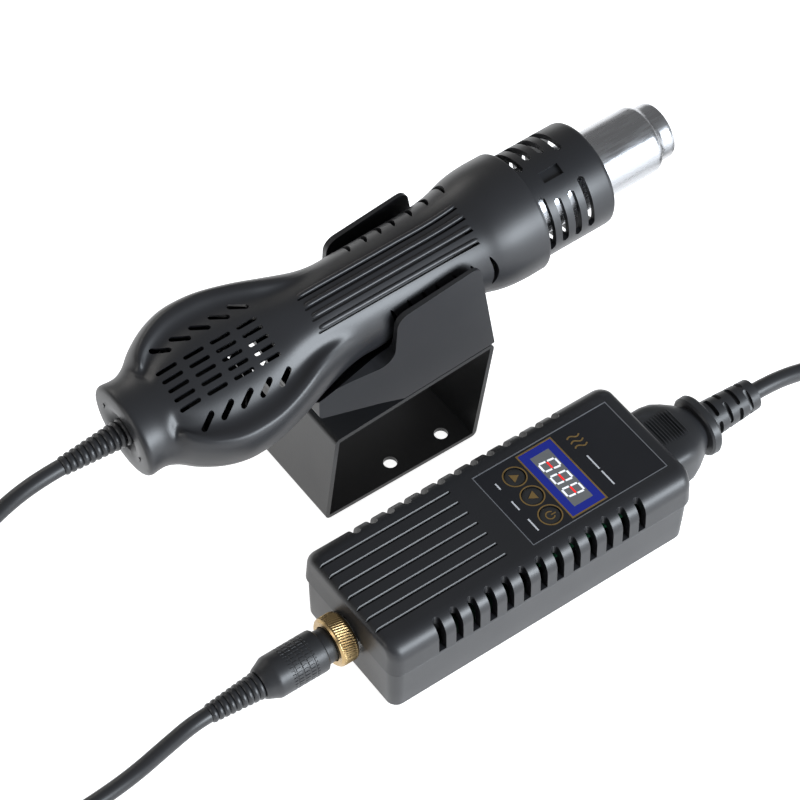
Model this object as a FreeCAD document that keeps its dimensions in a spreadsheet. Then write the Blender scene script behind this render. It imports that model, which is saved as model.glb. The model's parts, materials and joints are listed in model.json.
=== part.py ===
import FreeCAD, Part

import math
import os

from FreeCAD import Placement, Rotation, Vector

# Hot air station: a control box, a bench stand and the handpiece that lies in it, joined by
# the handpiece cable, with a detachable mains lead. Millimetres, +Z up, +X along the nozzle.
# The origin is the centre of the control box's underside, on the bench.

os.makedirs("parts", exist_ok=True)
doc = FreeCAD.newDocument("hot_air_station")
dims = doc.addObject("Spreadsheet::Sheet", "dims")

DRIVING = [
    ("case_length", 111.5), ("case_width", 46.5), ("case_height", 29.5), ("case_wall", 2.0),
    ("case_corner", 4.0), ("case_shoulder", 6.0), ("parting_height", 17.0), ("parting_step", 0.6),
    ("port_height", 14.25), ("groove_length", 48.0), ("groove_width", 1.2), ("groove_pitch", 4.57),
    ("groove_depth", 0.8), ("groove_middle", 0.97), ("vent_pitch", 6.13), ("vent_width", 2.6), ("vent_first", -38.2),
    ("vent_foot", 18.4), ("vent_reach", 4.9), ("label_length", 50.5), ("label_width", 30.0),
    ("label_middle", 25.55), ("label_depth", 0.4), ("window_length", 13.1), ("window_width", 27.6),
    ("window_middle", 22.35), ("button_radius", 3.3), ("button_line", 11.2), ("button_pitch", 8.54),
    ("button_middle", -0.45), ("button_gap", 0.25), ("board_thick", 1.6), ("top_board_height", 20.0),
    ("low_board_height", 4.6),
    ("thread_radius", 6.4), ("nut_radius", 8.0), ("nut_length", 6.1), ("plug_radius", 6.7),
    ("neck_radius", 5.5), ("plug_front", -65.4), ("plug_back", -83.0), ("relief_front", -86.4),
    ("relief_back", -103.7), ("cable_diameter", 5.0),
    ("inlet_width", 27.2), ("inlet_height", 19.8), ("inlet_depth", 16.2), ("cord_diameter", 5.6),
    ("connector_end", 74.8), ("flange_thick", 3.8), ("lead_relief_end", 98.0),
    ("gun_x", -88.25), ("gun_y", 63.98), ("gun_z", 65.78), ("gun_pitch", 2.03), ("gun_roll", 20.0),
    ("shell_wall", 2.0), ("guard_radius", 17.1), ("guard_wall", 1.7),
    ("guard_end", 165.0), ("barrel_radius", 11.0), ("barrel_wall", 0.5), ("barrel_shoulder", 188.3),
    ("tip_radius", 9.15), ("tip_end", 194.5), ("fan_station", 24.0), ("fan_radius", 15.2),
    ("fan_height", 11.0),
    ("stand_width", 37.5), ("stand_plate", 1.5), ("stand_foot", 57.4), ("stand_left", -31.2),
    ("stand_hole", 2.2), ("hole_spacing", 19.5), ("hole_middle", 7.1), ("hole_line", 50.9),
    ("saddle_radius", 16.9), ("seat_start", 166.3), ("seat_relief", 0.2),
]
for row, (alias, value) in enumerate(DRIVING, start=1):
    dims.set("A%d" % row, alias)
    dims.set("B%d" % row, str(value))
    dims.setAlias("B%d" % row, alias)
doc.recompute()


def size(alias):
    return float(dims.get(alias))


def bind(item, **expressions):
    """Bind properties of one object to the sheet; a double underscore stands for a dot."""
    for name, expression in expressions.items():
        item.setExpression(name.replace("__", "."), str(expression))
    return item


def place(item, x, y, z):
    return bind(item, Placement__Base__x=x, Placement__Base__y=y, Placement__Base__z=z)


def block(name, length, width, height, x=0, y=0, z=0):
    """Box with its middle at x, y and its underside at z."""
    item = bind(doc.addObject("Part::Box", name), Length=length, Width=width, Height=height)
    return place(item, "%s - (%s) / 2" % (x, length), "%s - (%s) / 2" % (y, width), z)


def turned_block(name, length, width, height, placement):
    """Box with its corner at a worked-out placement."""
    item = bind(doc.addObject("Part::Box", name), Length=length, Width=width, Height=height)
    item.Placement = placement
    return item


TURNS = {
    "x": Rotation(Vector(0, 1, 0), 90), "-x": Rotation(Vector(0, 1, 0), -90),
    "y": Rotation(Vector(1, 0, 0), -90), "-y": Rotation(Vector(1, 0, 0), 90),
    "z": Rotation(), "-z": Rotation(Vector(1, 0, 0), 180),
}


# Turns a flat outline's own X, Y to the row's Y, Z, so that it faces along X.
ACROSS_X = Rotation(Vector(0, 1, 0), Vector(0, 0, 1), Vector(1, 0, 0), "ZXY")


def rod(name, radius, height, x=0, y=0, z=0, along="z"):
    item = bind(doc.addObject("Part::Cylinder", name), Radius=radius, Height=height)
    item.Placement.Rotation = TURNS[along]
    return place(item, x, y, z)


def taper(name, radius, end_radius, height, x=0, y=0, z=0, along="z"):
    item = bind(doc.addObject("Part::Cone", name), Radius1=radius, Radius2=end_radius, Height=height)
    item.Placement.Rotation = TURNS[along]
    return place(item, x, y, z)


def fuse(name, shapes):
    item = doc.addObject("Part::MultiFuse", name)
    item.Shapes = shapes
    return item


def cut(name, base, tools):
    item = doc.addObject("Part::Cut", name)
    item.Base = base
    item.Tool = tools[0] if len(tools) == 1 else fuse(name + "_tools", tools)
    return item


def common(name, shapes):
    item = doc.addObject("Part::MultiCommon", name)
    item.Shapes = shapes
    return item


def together(name, shapes):
    """Separate solids of one sub-part, such as a set of screws."""
    item = doc.addObject("Part::Compound", name)
    item.Links = shapes
    return item


def round_edges(name, base, radius, chosen):
    """Fillet the edges of a base object for which chosen(edge) is true."""
    doc.recompute()
    item = doc.addObject("Part::Fillet", name)
    item.Base = base
    numbers = [n for n, edge in enumerate(base.Shape.Edges, 1) if chosen(edge)]
    item.Edges = [(n, size(radius), size(radius)) for n in numbers]
    return item


def upright(edge):
    return abs(edge.tangentAt(edge.FirstParameter).z) > 0.99


def made(name, shape):
    """Sub-part whose form is worked out by code from the sheet's sizes."""
    item = doc.addObject("Part::Feature", name)
    item.Shape = shape
    return item


NODES = []


def node(label, item, placement=None):
    item.Label = label
    if placement is not None:
        item.Placement = placement
    NODES.append((label, item))
    return item


# Control box ------------------------------------------------------------------------------

LENGTH, WIDTH, HEIGHT = "dims.case_length", "dims.case_width", "dims.case_height"
PARTING, WALL, STEP = "dims.parting_height", "dims.case_wall", "dims.parting_step"
PORT = "dims.port_height"
SCREW_SPOTS = [(sx * 47.5, sy * 17.6) for sx in (-1, 1) for sy in (-1, 1)]
POWER_RESTS = [(-36, -13), (-36, 13), (31, -13), (31, 13)]
CONTROL_RESTS = [(4.5, -14.5), (4.5, 14.5), (35.5, -14.5), (35.5, 14.5)]


def port_tools(tag):
    """Holes for the output socket in the -X end and the mains inlet in the +X end."""
    socket = rod("socket_hole" + tag, "dims.thread_radius + 0.1", 8, "-%s / 2 - 3" % LENGTH, 0, PORT, "x")
    inlet = block("inlet_hole" + tag, 12, "dims.inlet_width + 0.4", "dims.inlet_height + 0.4",
                  "%s / 2" % LENGTH, 0, PORT + " - dims.inlet_height / 2 - 0.2")
    return [socket, inlet]


def case_bottom():
    outer = block("tub_outer", "%s - 2 * %s" % (LENGTH, STEP), "%s - 2 * %s" % (WIDTH, STEP), PARTING)
    outer = round_edges("tub_rounded", outer, "case_corner", upright)
    inner = block("tub_inner", "%s - 2 * %s - 2 * %s" % (LENGTH, STEP, WALL),
                  "%s - 2 * %s - 2 * %s" % (WIDTH, STEP, WALL), PARTING, z=WALL)
    bosses = [rod("boss_%d" % n, 3.6, PARTING + " - 0.3", x, y, 0.2) for n, (x, y) in enumerate(SCREW_SPOTS)]
    rests = [rod("rest_%d" % n, 2.0, "dims.low_board_height - 1.5", x, y, 1.5)
             for n, (x, y) in enumerate(POWER_RESTS)]
    holes = [rod("boss_hole_%d" % n, 1.7, 30, x, y, -1) for n, (x, y) in enumerate(SCREW_SPOTS)]
    sinks = [rod("boss_sink_%d" % n, 2.9, 3.2, x, y, -1) for n, (x, y) in enumerate(SCREW_SPOTS)]
    skin = cut("tub_skin", outer, [inner])
    whole = fuse("tub_whole", [skin, common("bosses_inside", [fuse("bosses", bosses), outer])] + rests)
    return node("case_bottom", cut("case_bottom", whole, port_tools("_low") + holes + sinks))


def case_top():
    outer = block("lid_outer", LENGTH, WIDTH, "%s - %s" % (HEIGHT, PARTING), z=PARTING)
    outer = round_edges("lid_rounded", outer, "case_corner", upright)
    top = size("case_height")
    side = size("case_width") / 2 - 0.1

    def long_top_edge(edge):
        middle = edge.CenterOfMass
        return abs(middle.z - top) < 0.01 and abs(middle.y) > side and edge.Length > 60

    outer = round_edges("lid_shouldered", outer, "case_shoulder", long_top_edge)
    inner = block("lid_inner", "%s - 2 * %s" % (LENGTH, WALL), "%s - 2 * %s" % (WIDTH, WALL),
                  "%s - %s - 2.2 + 1" % (HEIGHT, PARTING), z=PARTING + " - 1")
    inner = round_edges("lid_inner_shoulder", inner, "case_shoulder",
                        lambda edge: abs(edge.CenterOfMass.z - top + 2.2) < 0.01 and edge.Length > 60)
    tools = []
    for side_sign in (-1, 1):
        for number in range(13):
            x = "dims.vent_first + %d * dims.vent_pitch" % number
            name = "vent_%d_%d" % (side_sign > 0, number)
            middle = "%d * (%s / 2 - dims.vent_reach / 2 + 1)" % (side_sign, WIDTH)
            tools.append(block(name, "dims.vent_width", "dims.vent_reach + 2",
                               HEIGHT + " - dims.vent_foot + 1", x, middle, "dims.vent_foot"))
    for number in range(-3, 4):
        tools.append(block("groove_%d" % (number + 3), "dims.groove_length", "dims.groove_width", 3,
                           "-%s / 2 + 1 + dims.groove_length / 2" % LENGTH,
                           "dims.groove_middle + %d * dims.groove_pitch" % number, HEIGHT + " - dims.groove_depth"))
    tools.append(block("label_bed", "dims.label_length", "dims.label_width", 3,
                       "dims.label_middle", 0, HEIGHT + " - dims.label_depth"))
    tools.append(block("window_hole", "dims.window_length - 1.4", "dims.window_width - 1.4", 6,
                       "dims.window_middle", 0, HEIGHT + " - 4"))
    for number in (-1, 0, 1):
        tools.append(rod("cap_hole_%d" % (number + 1), "dims.button_radius + dims.button_gap", 6,
                         "dims.button_line", "dims.button_middle + %d * dims.button_pitch" % number,
                         HEIGHT + " - 4"))
    bosses = [rod("post_%d" % n, 3.0, "%s - %s - 2.1" % (HEIGHT, PARTING), x, y, PARTING)
              for n, (x, y) in enumerate(SCREW_SPOTS)]
    pilots = [rod("post_hole_%d" % n, 1.1, 8, x, y, PARTING + " - 1") for n, (x, y) in enumerate(SCREW_SPOTS)]
    skin = cut("lid_skin", outer, [inner])
    whole = cut("lid_opened", skin, tools + port_tools("_top"))
    hangers = [rod("hanger_%d" % n, 1.8, HEIGHT + " - 1.5 - dims.top_board_height - dims.board_thick", x, y,
                   "dims.top_board_height + dims.board_thick") for n, (x, y) in enumerate(CONTROL_RESTS)]
    lid = fuse("lid_posted", [whole, common("posts_inside", [fuse("posts", bosses), outer])] + hangers)
    return node("case_top", cut("case_top", lid, pilots))


def case_screws():
    screws = []
    for number, (x, y) in enumerate(SCREW_SPOTS):
        head = rod("screw_head_%d" % number, 2.7, 1.8, x, y, 0.3)
        shank = rod("screw_shank_%d" % number, 1.05, PARTING + " + 3", x, y, 2.0)
        screws.append(fuse("case_screw_%d" % number, [head, shank]))
    return node("case_screws", together("case_screws", screws))


def panel():
    bed = HEIGHT + " - dims.label_depth"
    sheet = block("label_sheet", "dims.label_length - 0.4", "dims.label_width - 0.4", 0.3,
                  "dims.label_middle", 0, bed)
    tools = [block("label_window", "dims.window_length - 1.2", "dims.window_width - 1.2", 4,
                   "dims.window_middle", 0, HEIGHT + " - 2")]
    for number in (-1, 0, 1):
        y = "dims.button_middle + %d * dims.button_pitch" % number
        tools.append(rod("label_hole_%d" % (number + 1), "dims.button_radius + dims.button_gap", 4,
                         "dims.button_line", y, HEIGHT + " - 2"))
    node("front_label", cut("front_label", sheet, tools))
    node("display_window", block("display_window", "dims.window_length - 1.6", "dims.window_width - 1.6",
                                 1.6, "dims.window_middle", 0, HEIGHT + " - 1.7"))
    node("display_module", block("display_module", 10.0, 22.5, 6.0, "dims.window_middle", 0,
                                 "dims.top_board_height + dims.board_thick"))
    for number, name in ((1, "button_up"), (0, "button_down"), (-1, "button_set")):
        y = "dims.button_middle + %d * dims.button_pitch" % number
        cap = rod(name + "_cap", "dims.button_radius", 3.0, "dims.button_line", y, HEIGHT + " - 3.3")
        skirt = rod(name + "_skirt", "dims.button_radius + 0.7", 0.5, "dims.button_line", y,
                    HEIGHT + " - 3.3")
        node(name, fuse(name, [cap, skirt]))
    switches = []
    for number in (-1, 0, 1):
        y = "dims.button_middle + %d * dims.button_pitch" % number
        body = block("tact_body_%d" % (number + 1), 6, 6, 2.2, "dims.button_line", y,
                     "dims.top_board_height + dims.board_thick")
        stem = rod("tact_stem_%d" % (number + 1), 1.5, 1.9, "dims.button_line", y,
                   "dims.top_board_height + dims.board_thick + 2.1")
        switches.append(fuse("tact_%d" % (number + 1), [body, stem]))
    node("tact_switches", together("tact_switches", switches))
    node("control_board", block("control_board", 37, 34, "dims.board_thick", 20, 0, "dims.top_board_height"))


def power_electronics():
    top = "dims.low_board_height + dims.board_thick"
    node("power_board", block("power_board", 78, 32, "dims.board_thick", -2.5, 0, "dims.low_board_height"))
    core = block("core", 20, 17, 11, 12, -5, top)
    windings = block("windings", 13, 22, 8, 12, -5, top + " + 1.5")
    node("transformer", fuse("transformer", [core, windings]))
    spots = [(-6, 9), (-17, 9), (-34, -10)]
    caps = [rod("capacitor_%d" % n, 4.5, 13, x, y, top) for n, (x, y) in enumerate(spots)]
    node("capacitors", together("capacitors", caps))
    plate = block("sink_plate", 18, 1.6, 14, -18, -4, top)
    fins = [block("sink_fin_%d" % n, 1.2, 5, 14, -26.4 + 4.2 * n, -7.2, top) for n in range(5)]
    node("heat_sink", fuse("heat_sink", [plate] + fins))
    node("power_triac", block("power_triac", 10, 3.8, 12, -18, -1.2, top + " + 1"))
    tube = rod("fuse_tube", 2.5, 20, 16, 10.5, top + " + 2.6", "x")
    node("mains_fuse", tube)


def output_socket():
    """Threaded panel socket through the -X end wall, with its insulator, pins and back nut."""
    wall_face = "-%s / 2 + %s" % (LENGTH, STEP)
    tube = rod("socket_tube", "dims.thread_radius", 12, wall_face + " - 5.7", 0, PORT, "x")
    flange = rod("socket_flange", 8.4, 1.4, wall_face + " + " + WALL + " + 0.1", 0, PORT, "x")
    bore = rod("socket_bore", 5.8, 15, wall_face + " - 7", 0, PORT, "x")
    node("output_socket", cut("output_socket", fuse("socket_solid", [tube, flange]), [bore]))
    disc = rod("socket_disc", 5.75, 5.0, wall_face + " - 1.0", 0, PORT, "x")
    holes, pins = [], []
    for number in range(5):
        turn = math.radians(72 * number + 18)
        y, z = 3.3 * math.cos(turn), 3.3 * math.sin(turn)
        height = "%s + %.4f" % (PORT, z)
        holes.append(rod("pin_way_%d" % number, 0.75, 9, wall_face + " - 2", y, height, "x"))
        pins.append(rod("plug_pin_%d" % number, 0.6, 6.4, wall_face + " - 3.0", y, height, "x"))
    node("socket_insulator", cut("socket_insulator", disc, holes))
    node("plug_pins", together("plug_pins", pins))


def cable_plug():
    """Round plug of the handpiece cable: insert, housing with its neck, coupling nut, relief."""
    wall_face = -size("case_length") / 2 + size("parting_step")
    insert_front = wall_face - 3.0
    front = size("plug_front")
    node("plug_insert", rod("plug_insert", 5.4, insert_front - front - 1.9, front + 1.9, 0, PORT, "x"))
    nut_front = -size("case_length") / 2 - 0.45
    nut = rod("nut_blank", "dims.nut_radius", "dims.nut_length", nut_front, 0, PORT, "-x")
    thread = rod("nut_thread", "dims.thread_radius + 0.06", 5.0, nut_front + 0.1, 0, PORT, "-x")
    throat = rod("nut_throat", "dims.neck_radius + 0.15", 9, nut_front + 0.1, 0, PORT, "-x")
    node("coupling_nut", cut("coupling_nut", nut, [thread, throat]))
    neck = rod("neck", "dims.neck_radius", 2.9, "dims.plug_front - 1", 0, PORT, "x")
    grip = rod("grip", "dims.plug_radius", "dims.plug_front - dims.plug_back", "dims.plug_back", 0, PORT, "x")
    cone = taper("cone", "dims.plug_radius", 4.7, "dims.plug_back - dims.relief_front",
                 "dims.plug_back", 0, PORT, "-x")
    node("plug_housing", fuse("plug_housing", [neck, grip, cone]))
    node("plug_strain_relief", ribbed_relief("plug_relief", "dims.relief_front", "dims.relief_back",
                                             4.4, 3.1, 7, 0, PORT, "-x"))


def ribbed_relief(tag, start, end, radius, end_radius, rings, y, z, along):
    """Tapered strain relief with raised rings, running along X from start to end."""
    sign = -1 if along == "-x" else 1
    span = "abs(%s - %s)" % (end, start)
    core = taper(tag + "_core", radius - 0.7, end_radius - 0.3, span, start, y, z, along)
    hoops = []
    for number in range(rings):
        share = (number + 0.5) / rings
        hoop_radius = radius + (end_radius - radius) * share
        where = "%s + %d * %.4f * %s" % (start, sign, share - 0.3 / rings, span)
        hoops.append(rod("%s_ring_%d" % (tag, number), hoop_radius, "0.6 / %d * %s" % (rings, span),
                         where, y, z, along))
    return fuse(tag, [core] + hoops)


def mains_inlet():
    back = "%s / 2 - dims.inlet_depth" % LENGTH
    middle = "%s / 2 - dims.inlet_depth / 2" % LENGTH
    body = block("inlet_body", "dims.inlet_depth", "dims.inlet_width", "dims.inlet_height", middle, 0,
                 PORT + " - dims.inlet_height / 2")
    hollow = block("inlet_hollow", "dims.inlet_depth", "dims.inlet_width - 2.6", "dims.inlet_height - 3.2",
                   middle + " + 2", 0, PORT + " - dims.inlet_height / 2 + 1.6")
    node("mains_inlet", cut("mains_inlet", body, [hollow]))
    blades = []
    for number, (y, z) in enumerate(((-7, -2), (0, 2), (7, -2))):
        blades.append(block("blade_%d" % number, 10.5, 2.0, 4.0, back + " + 2 + 5.25", y,
                            "%s + %d - 2" % (PORT, z)))
    node("inlet_blades", together("inlet_blades", blades))


def mains_connector():
    """Moulded connector of the mains lead: nose in the inlet, grip, flange and slotted relief."""
    nose_back = "%s / 2 - dims.inlet_depth + 2.4" % LENGTH
    nose = block("nose", "dims.inlet_depth - 2.2", 24.0, 16.0,
                 nose_back + " + (dims.inlet_depth - 2.2) / 2", 0, PORT + " - 8")
    ways = [block("way_%d" % n, 11.5, 2.8, 4.8, nose_back + " + 5.6", y, "%s + %d - 2.4" % (PORT, z))
            for n, (y, z) in enumerate(((-7, -2), (0, 2), (7, -2)))]
    node("connector_nose", cut("connector_nose", nose, ways))
    start = size("case_length") / 2 + 0.2
    end = size("connector_end")
    profiles = [(start, 12.6, 9.2), (start + 8, 12.6, 9.2), (start + 14, 9.8, 8.0), (end, 8.2, 6.8)]
    middle = size("port_height")
    wires = []
    for x, half_width, half_height in profiles:
        ring = Part.Ellipse(Vector(0, 0, 0), half_width, half_height).toShape()
        ring.Placement = Placement(Vector(x, 0, middle), ACROSS_X)
        wires.append(Part.Wire([ring]))
    grip = Part.makeLoft(wires, True, False)
    flange = Part.makeCylinder(1, size("flange_thick"), Vector(0, 0, 0), Vector(0, 0, 1))
    squash = FreeCAD.Matrix()
    squash.scale(10.2, 8.6, 1)
    flange = flange.transformGeometry(squash)
    flange.Placement = Placement(Vector(end, 0, middle), ACROSS_X)
    node("connector_grip", made("connector_grip", grip.fuse(flange).removeSplitter()))
    tail = "dims.connector_end + dims.flange_thick"
    length = "dims.lead_relief_end - dims.connector_end - dims.flange_thick"
    cone = taper("tail", 6.1, 5.1, length, tail, 0, PORT, "x")
    slots = []
    for number in range(3):
        for side in (-1, 1):
            slots.append(block("tail_slot_%d_%d" % (number, side > 0), 1.5, 8.5, 4,
                               "%s + 3.4 + 4.6 * %d" % (tail, number), 0,
                               "%s + %s" % (PORT, 3.6 if side > 0 else -7.6)))
            slots.append(block("tail_side_%d_%d" % (number, side > 0), 1.5, 4, 8.5,
                               "%s + 5.7 + 4.6 * %d" % (tail, number), 5.6 * side, PORT + " - 4.25"))
    node("connector_relief", cut("connector_relief", cone, slots))


# Stand --------------------------------------------------------------------------------------

CRADLE_OUTLINE = [
    (31.4, 41.2, 0), (24.1, 80.5, 3.5), (-5.4, 76.2, 4.5), (-6.2, 58.0, 5.0), (-22.4, 60.3, 0),
    (-33.2, 60.9, 1.5), (-33.2, 51.0, 2.5), (-11.0, 42.4, 0), (-2.0, 38.4, 0),
]


def face_outline(points, y, width):
    """Solid of a closed outline in X and Z, run along +Y from y."""
    corners = [Vector(x, y, z) for x, z in points]
    return Part.Face(Part.makePolygon(corners + corners[:1])).extrude(Vector(0, width, 0))


def stand_bracket():
    """Sheet-metal band folded to a leaning four-sided tube, open in front and behind."""
    left, foot, plate = size("stand_left"), size("stand_foot"), size("stand_plate")
    y = size("gun_y") - size("stand_width") / 2
    lean_left, lean_right = 3.9, 5.4
    top_left, top_right = 35.9, 40.9
    outside = [(left, 0), (left + foot, 0), (left + foot + lean_right, top_right),
               (left + lean_left, top_left)]
    inside = [(left + plate * 1.1, plate), (left + foot - plate * 0.9, plate),
              (left + foot + lean_right - plate * 1.1, top_right - plate * 1.1),
              (left + lean_left + plate * 0.9, top_left - plate)]
    outer = face_outline(outside, y, size("stand_width"))
    outer = outer.makeFillet(2.0, [e for e in outer.Edges if abs(e.tangentAt(e.FirstParameter).y) > 0.99])
    band = outer.cut(face_outline(inside, y - 1, size("stand_width") + 2))
    for side in (-1, 1):
        x = size("hole_middle") + side * size("hole_spacing") / 2
        band = band.cut(Part.makeCylinder(size("stand_hole"), 6, Vector(x, size("hole_line"), -2)))
    relief = Part.makeCylinder(0.9, 6, Vector(left + foot - 2.6, y + 24, -2))
    band = band.cut(relief)
    for x in (5.0, 22.0):
        band = band.cut(Part.makeCylinder(1.7, 12, Vector(x, size("gun_y"), 30)))
    return node("stand_bracket", made("stand_bracket", band))


def gun_axis_height(x):
    return size("gun_z") + (x - size("gun_x")) * math.tan(math.radians(size("gun_pitch")))


def trough(x, half_width, depth):
    """Cross-section at x of the room that the handle needs: a round bottom, open upwards."""
    y, z = size("gun_y"), gun_axis_height(x)
    near, far, rise = Vector(x, y - half_width, z), Vector(x, y + half_width, z), Vector(0, 0, 40)
    low = Part.Arc(near, Vector(x, y, z - depth), far).toShape()
    lines = [Part.makeLine(far, far + rise), Part.makeLine(far + rise, near + rise),
             Part.makeLine(near + rise, near)]
    return Part.Wire([low] + lines)


def stand_cradle():
    """Moulded saddle for the grip: two tall arms at the front, low walls at the back."""
    y = size("gun_y") - size("stand_width") / 2
    body = face_outline([(x, z) for x, z, radius in CRADLE_OUTLINE], y, size("stand_width"))
    for x, z, radius in CRADLE_OUTLINE:
        if radius:
            corner = Vector(x, size("gun_y"), z)
            folds = [e for e in body.Edges if e.CenterOfMass.distanceToPoint(corner) < 0.01]
            body = body.makeFillet(radius, folds)
    radius = size("saddle_radius")
    front = [trough(-8, radius, radius), trough(50, radius + 1.2, radius + 1.2)]
    body = body.cut(Part.makeLoft(front, True, True))
    body = body.cut(Part.makeLoft([trough(-42, 25.5, 18.2), trough(-7.9, radius, radius)], True, True))
    for x in (5.0, 22.0):
        body = body.cut(Part.makeCylinder(1.25, 8.5, Vector(x, size("gun_y"), gun_axis_height(x) - 31.5)))
    pocket = Part.makeCylinder(4.1, 3.4, Vector(-13, size("gun_y"), 45.2))
    body = body.cut(pocket)
    return node("stand_cradle", made("stand_cradle", body))


def stand_trim():
    screws = []
    for x in (5.0, 22.0):
        seat = 35.9 + (x - size("stand_left") - 3.9) * 5.0 / 58.9 - 1.7
        head = Part.makeCylinder(2.8, 1.6, Vector(x, size("gun_y"), seat - 1.75))
        shank = Part.makeCylinder(1.2, 8.0, Vector(x, size("gun_y"), seat - 0.3))
        screws.append(head.fuse(shank))
    node("stand_screws", made("stand_screws", Part.makeCompound(screws)))
    magnet = Part.makeCylinder(4.0, 3.2, Vector(-13, size("gun_y"), 45.3))
    node("cradle_magnet", made("cradle_magnet", magnet))


# Handpiece: modelled along +X from its rear face, then laid in the cradle --------------------

PITCH = Rotation(Vector(0, 1, 0), -size("gun_pitch"))
ROLL = Rotation(Vector(1, 0, 0), size("gun_roll"))
GUN = Placement(Vector(size("gun_x"), size("gun_y"), size("gun_z")), PITCH.multiply(ROLL))

SHELL_SECTIONS = [
    (0.0, 13.9, 11.9), (1.2, 14.8, 12.7), (7.5, 15.0, 12.8), (13.7, 19.2, 13.6), (20.0, 22.7, 14.2),
    (26.5, 24.6, 14.6), (33.0, 25.2, 14.8), (41.0, 24.0, 15.0), (50.0, 21.4, 15.1), (59.0, 18.6, 15.2),
    (66.0, 16.6, 15.3), (74.0, 15.4, 15.3), (95.0, 15.6, 15.5), (111.0, 16.0, 15.9), (119.0, 17.3, 17.2),
    (127.0, 19.1, 19.0), (133.0, 19.4, 19.3), (139.0, 19.4, 19.3),
]


def shell_solid(name, inset, first, last):
    """Loft of ellipses through the handle's stations, inset by a wall."""
    rings = []
    for number, (station, half_width, half_height) in enumerate(SHELL_SECTIONS):
        if first <= station <= last:
            ring = doc.addObject("Part::Ellipse", "%s_ring_%d" % (name, number))
            bind(ring, MajorRadius="%s - %s" % (half_width, inset))
            bind(ring, MinorRadius="%s - %s" % (half_height, inset))
            ring.Placement = Placement(Vector(station, 0, 0), ACROSS_X)
            rings.append(ring)
    loft = doc.addObject("Part::Loft", name)
    loft.Sections = rings
    loft.Solid = True
    return loft


HANDLE_SCREWS = [(5.0, -9.2), (5.0, 9.2), (62.0, -12.5), (62.0, 12.5)]


def top_vents(tag, low):
    """Intake slots over the fan: a grid along the spine and a slanted row on each flank."""
    slots = []
    for group in range(4):
        for line in range(-2, 3):
            slots.append(block("%s_grid_%d_%d" % (tag, group, line + 2), 6.8, 1.5, 12,
                               17.2 + 9.04 * group, 3.12 * line, low))
    for number in range(5):
        for side in (-1, 1):
            turn = Rotation(Vector(0, 0, 1), -35 * side)
            corner = turn.multVec(Vector(-3.1, -0.8, 0))
            middle = Vector(19.4 + 6.6 * number, 12.4 * side, low - 1)
            slots.append(turned_block("%s_slant_%d_%d" % (tag, number, side > 0), 6.2, 1.6, 14,
                                      Placement(middle + corner, turn)))
    return slots


def grip_cuts():
    """Thumb grooves along the top of the grip and the crescent notches on both sides."""
    cuts = []
    for number, angle in enumerate((-21.7, -6.9, 6.9, 21.7)):
        turn = Rotation(Vector(1, 0, 0), -angle)
        corner = Vector(60.9, 0, 0) + turn.multVec(Vector(0, -0.55, 15.1))
        cuts.append(turned_block("thumb_%d" % number, 57, 1.1, 2, Placement(corner, turn)))
    for number, station in enumerate((84.0, 90.0, 95.3, 100.1, 106.3, 112.4, 118.7)):
        for side in (-1, 1):
            cuts.append(block("notch_%d_%d" % (number, side > 0), 1.2, 3.2, 10.5, station,
                              16.2 * side, 0.6))
    return cuts


def handle_shells():
    outer = shell_solid("shell_outer", 0, 0, 140)
    inner = shell_solid("shell_inner", "dims.shell_wall", 1.0, 140)
    bosses = [rod("gun_boss_%d" % n, 3.6, 40, x, y, -20) for n, (x, y) in enumerate(HANDLE_SCREWS)]
    collar = rod("relief_hole", 3.9, 12, -1, 0, 0, "x")
    room = cut("shell_room", inner, bosses)
    skin = cut("shell_skin", outer, [room, collar])
    above = block("above", 160, 60, 30, 70, 0, 0.05)
    below = block("below", 160, 60, 30, 70, 0, -30.05)
    pilots = [rod("gun_pilot_%d" % n, 1.3, 13, x, y, -6.2) for n, (x, y) in enumerate(HANDLE_SCREWS)]
    sinks = [rod("gun_sink_%d" % n, 2.6, 24, x, y, -30.2) for n, (x, y) in enumerate(HANDLE_SCREWS)]
    upper = cut("upper_cut", common("upper_half", [skin, above]), top_vents("top", 6) + grip_cuts() + pilots)
    node("handle_upper_shell", upper, GUN)
    intake = [block("intake_%d" % n, 2.6, 19, 12, 16.4 + 4.4 * n, 0, -18) for n in range(9)]
    pilots_low = [rod("gun_pilot_low_%d" % n, 1.3, 13, x, y, -6.2) for n, (x, y) in enumerate(HANDLE_SCREWS)]
    lower = cut("lower_cut", common("lower_half", [skin, below]), intake + pilots_low + sinks)
    node("handle_lower_shell", lower, GUN)
    screws = []
    for number, (x, y) in enumerate(HANDLE_SCREWS):
        head = rod("gun_head_%d" % number, 2.4, 1.8, x, y, -8.05)
        shank = rod("gun_shank_%d" % number, 1.2, 12, x, y, -6.3)
        screws.append(fuse("gun_screw_%d" % number, [head, shank]))
    node("handle_screws", together("handle_screws", screws), GUN)
    relief = ribbed_relief("gun_relief", -0.2, -20.3, 4.4, 2.9, 10, 0, 0, "-x")
    root = rod("relief_root", 3.7, 3.4, -0.3, 0, 0, "x")
    node("handle_strain_relief", fuse("handle_strain_relief", [relief, root]), GUN)


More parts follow.
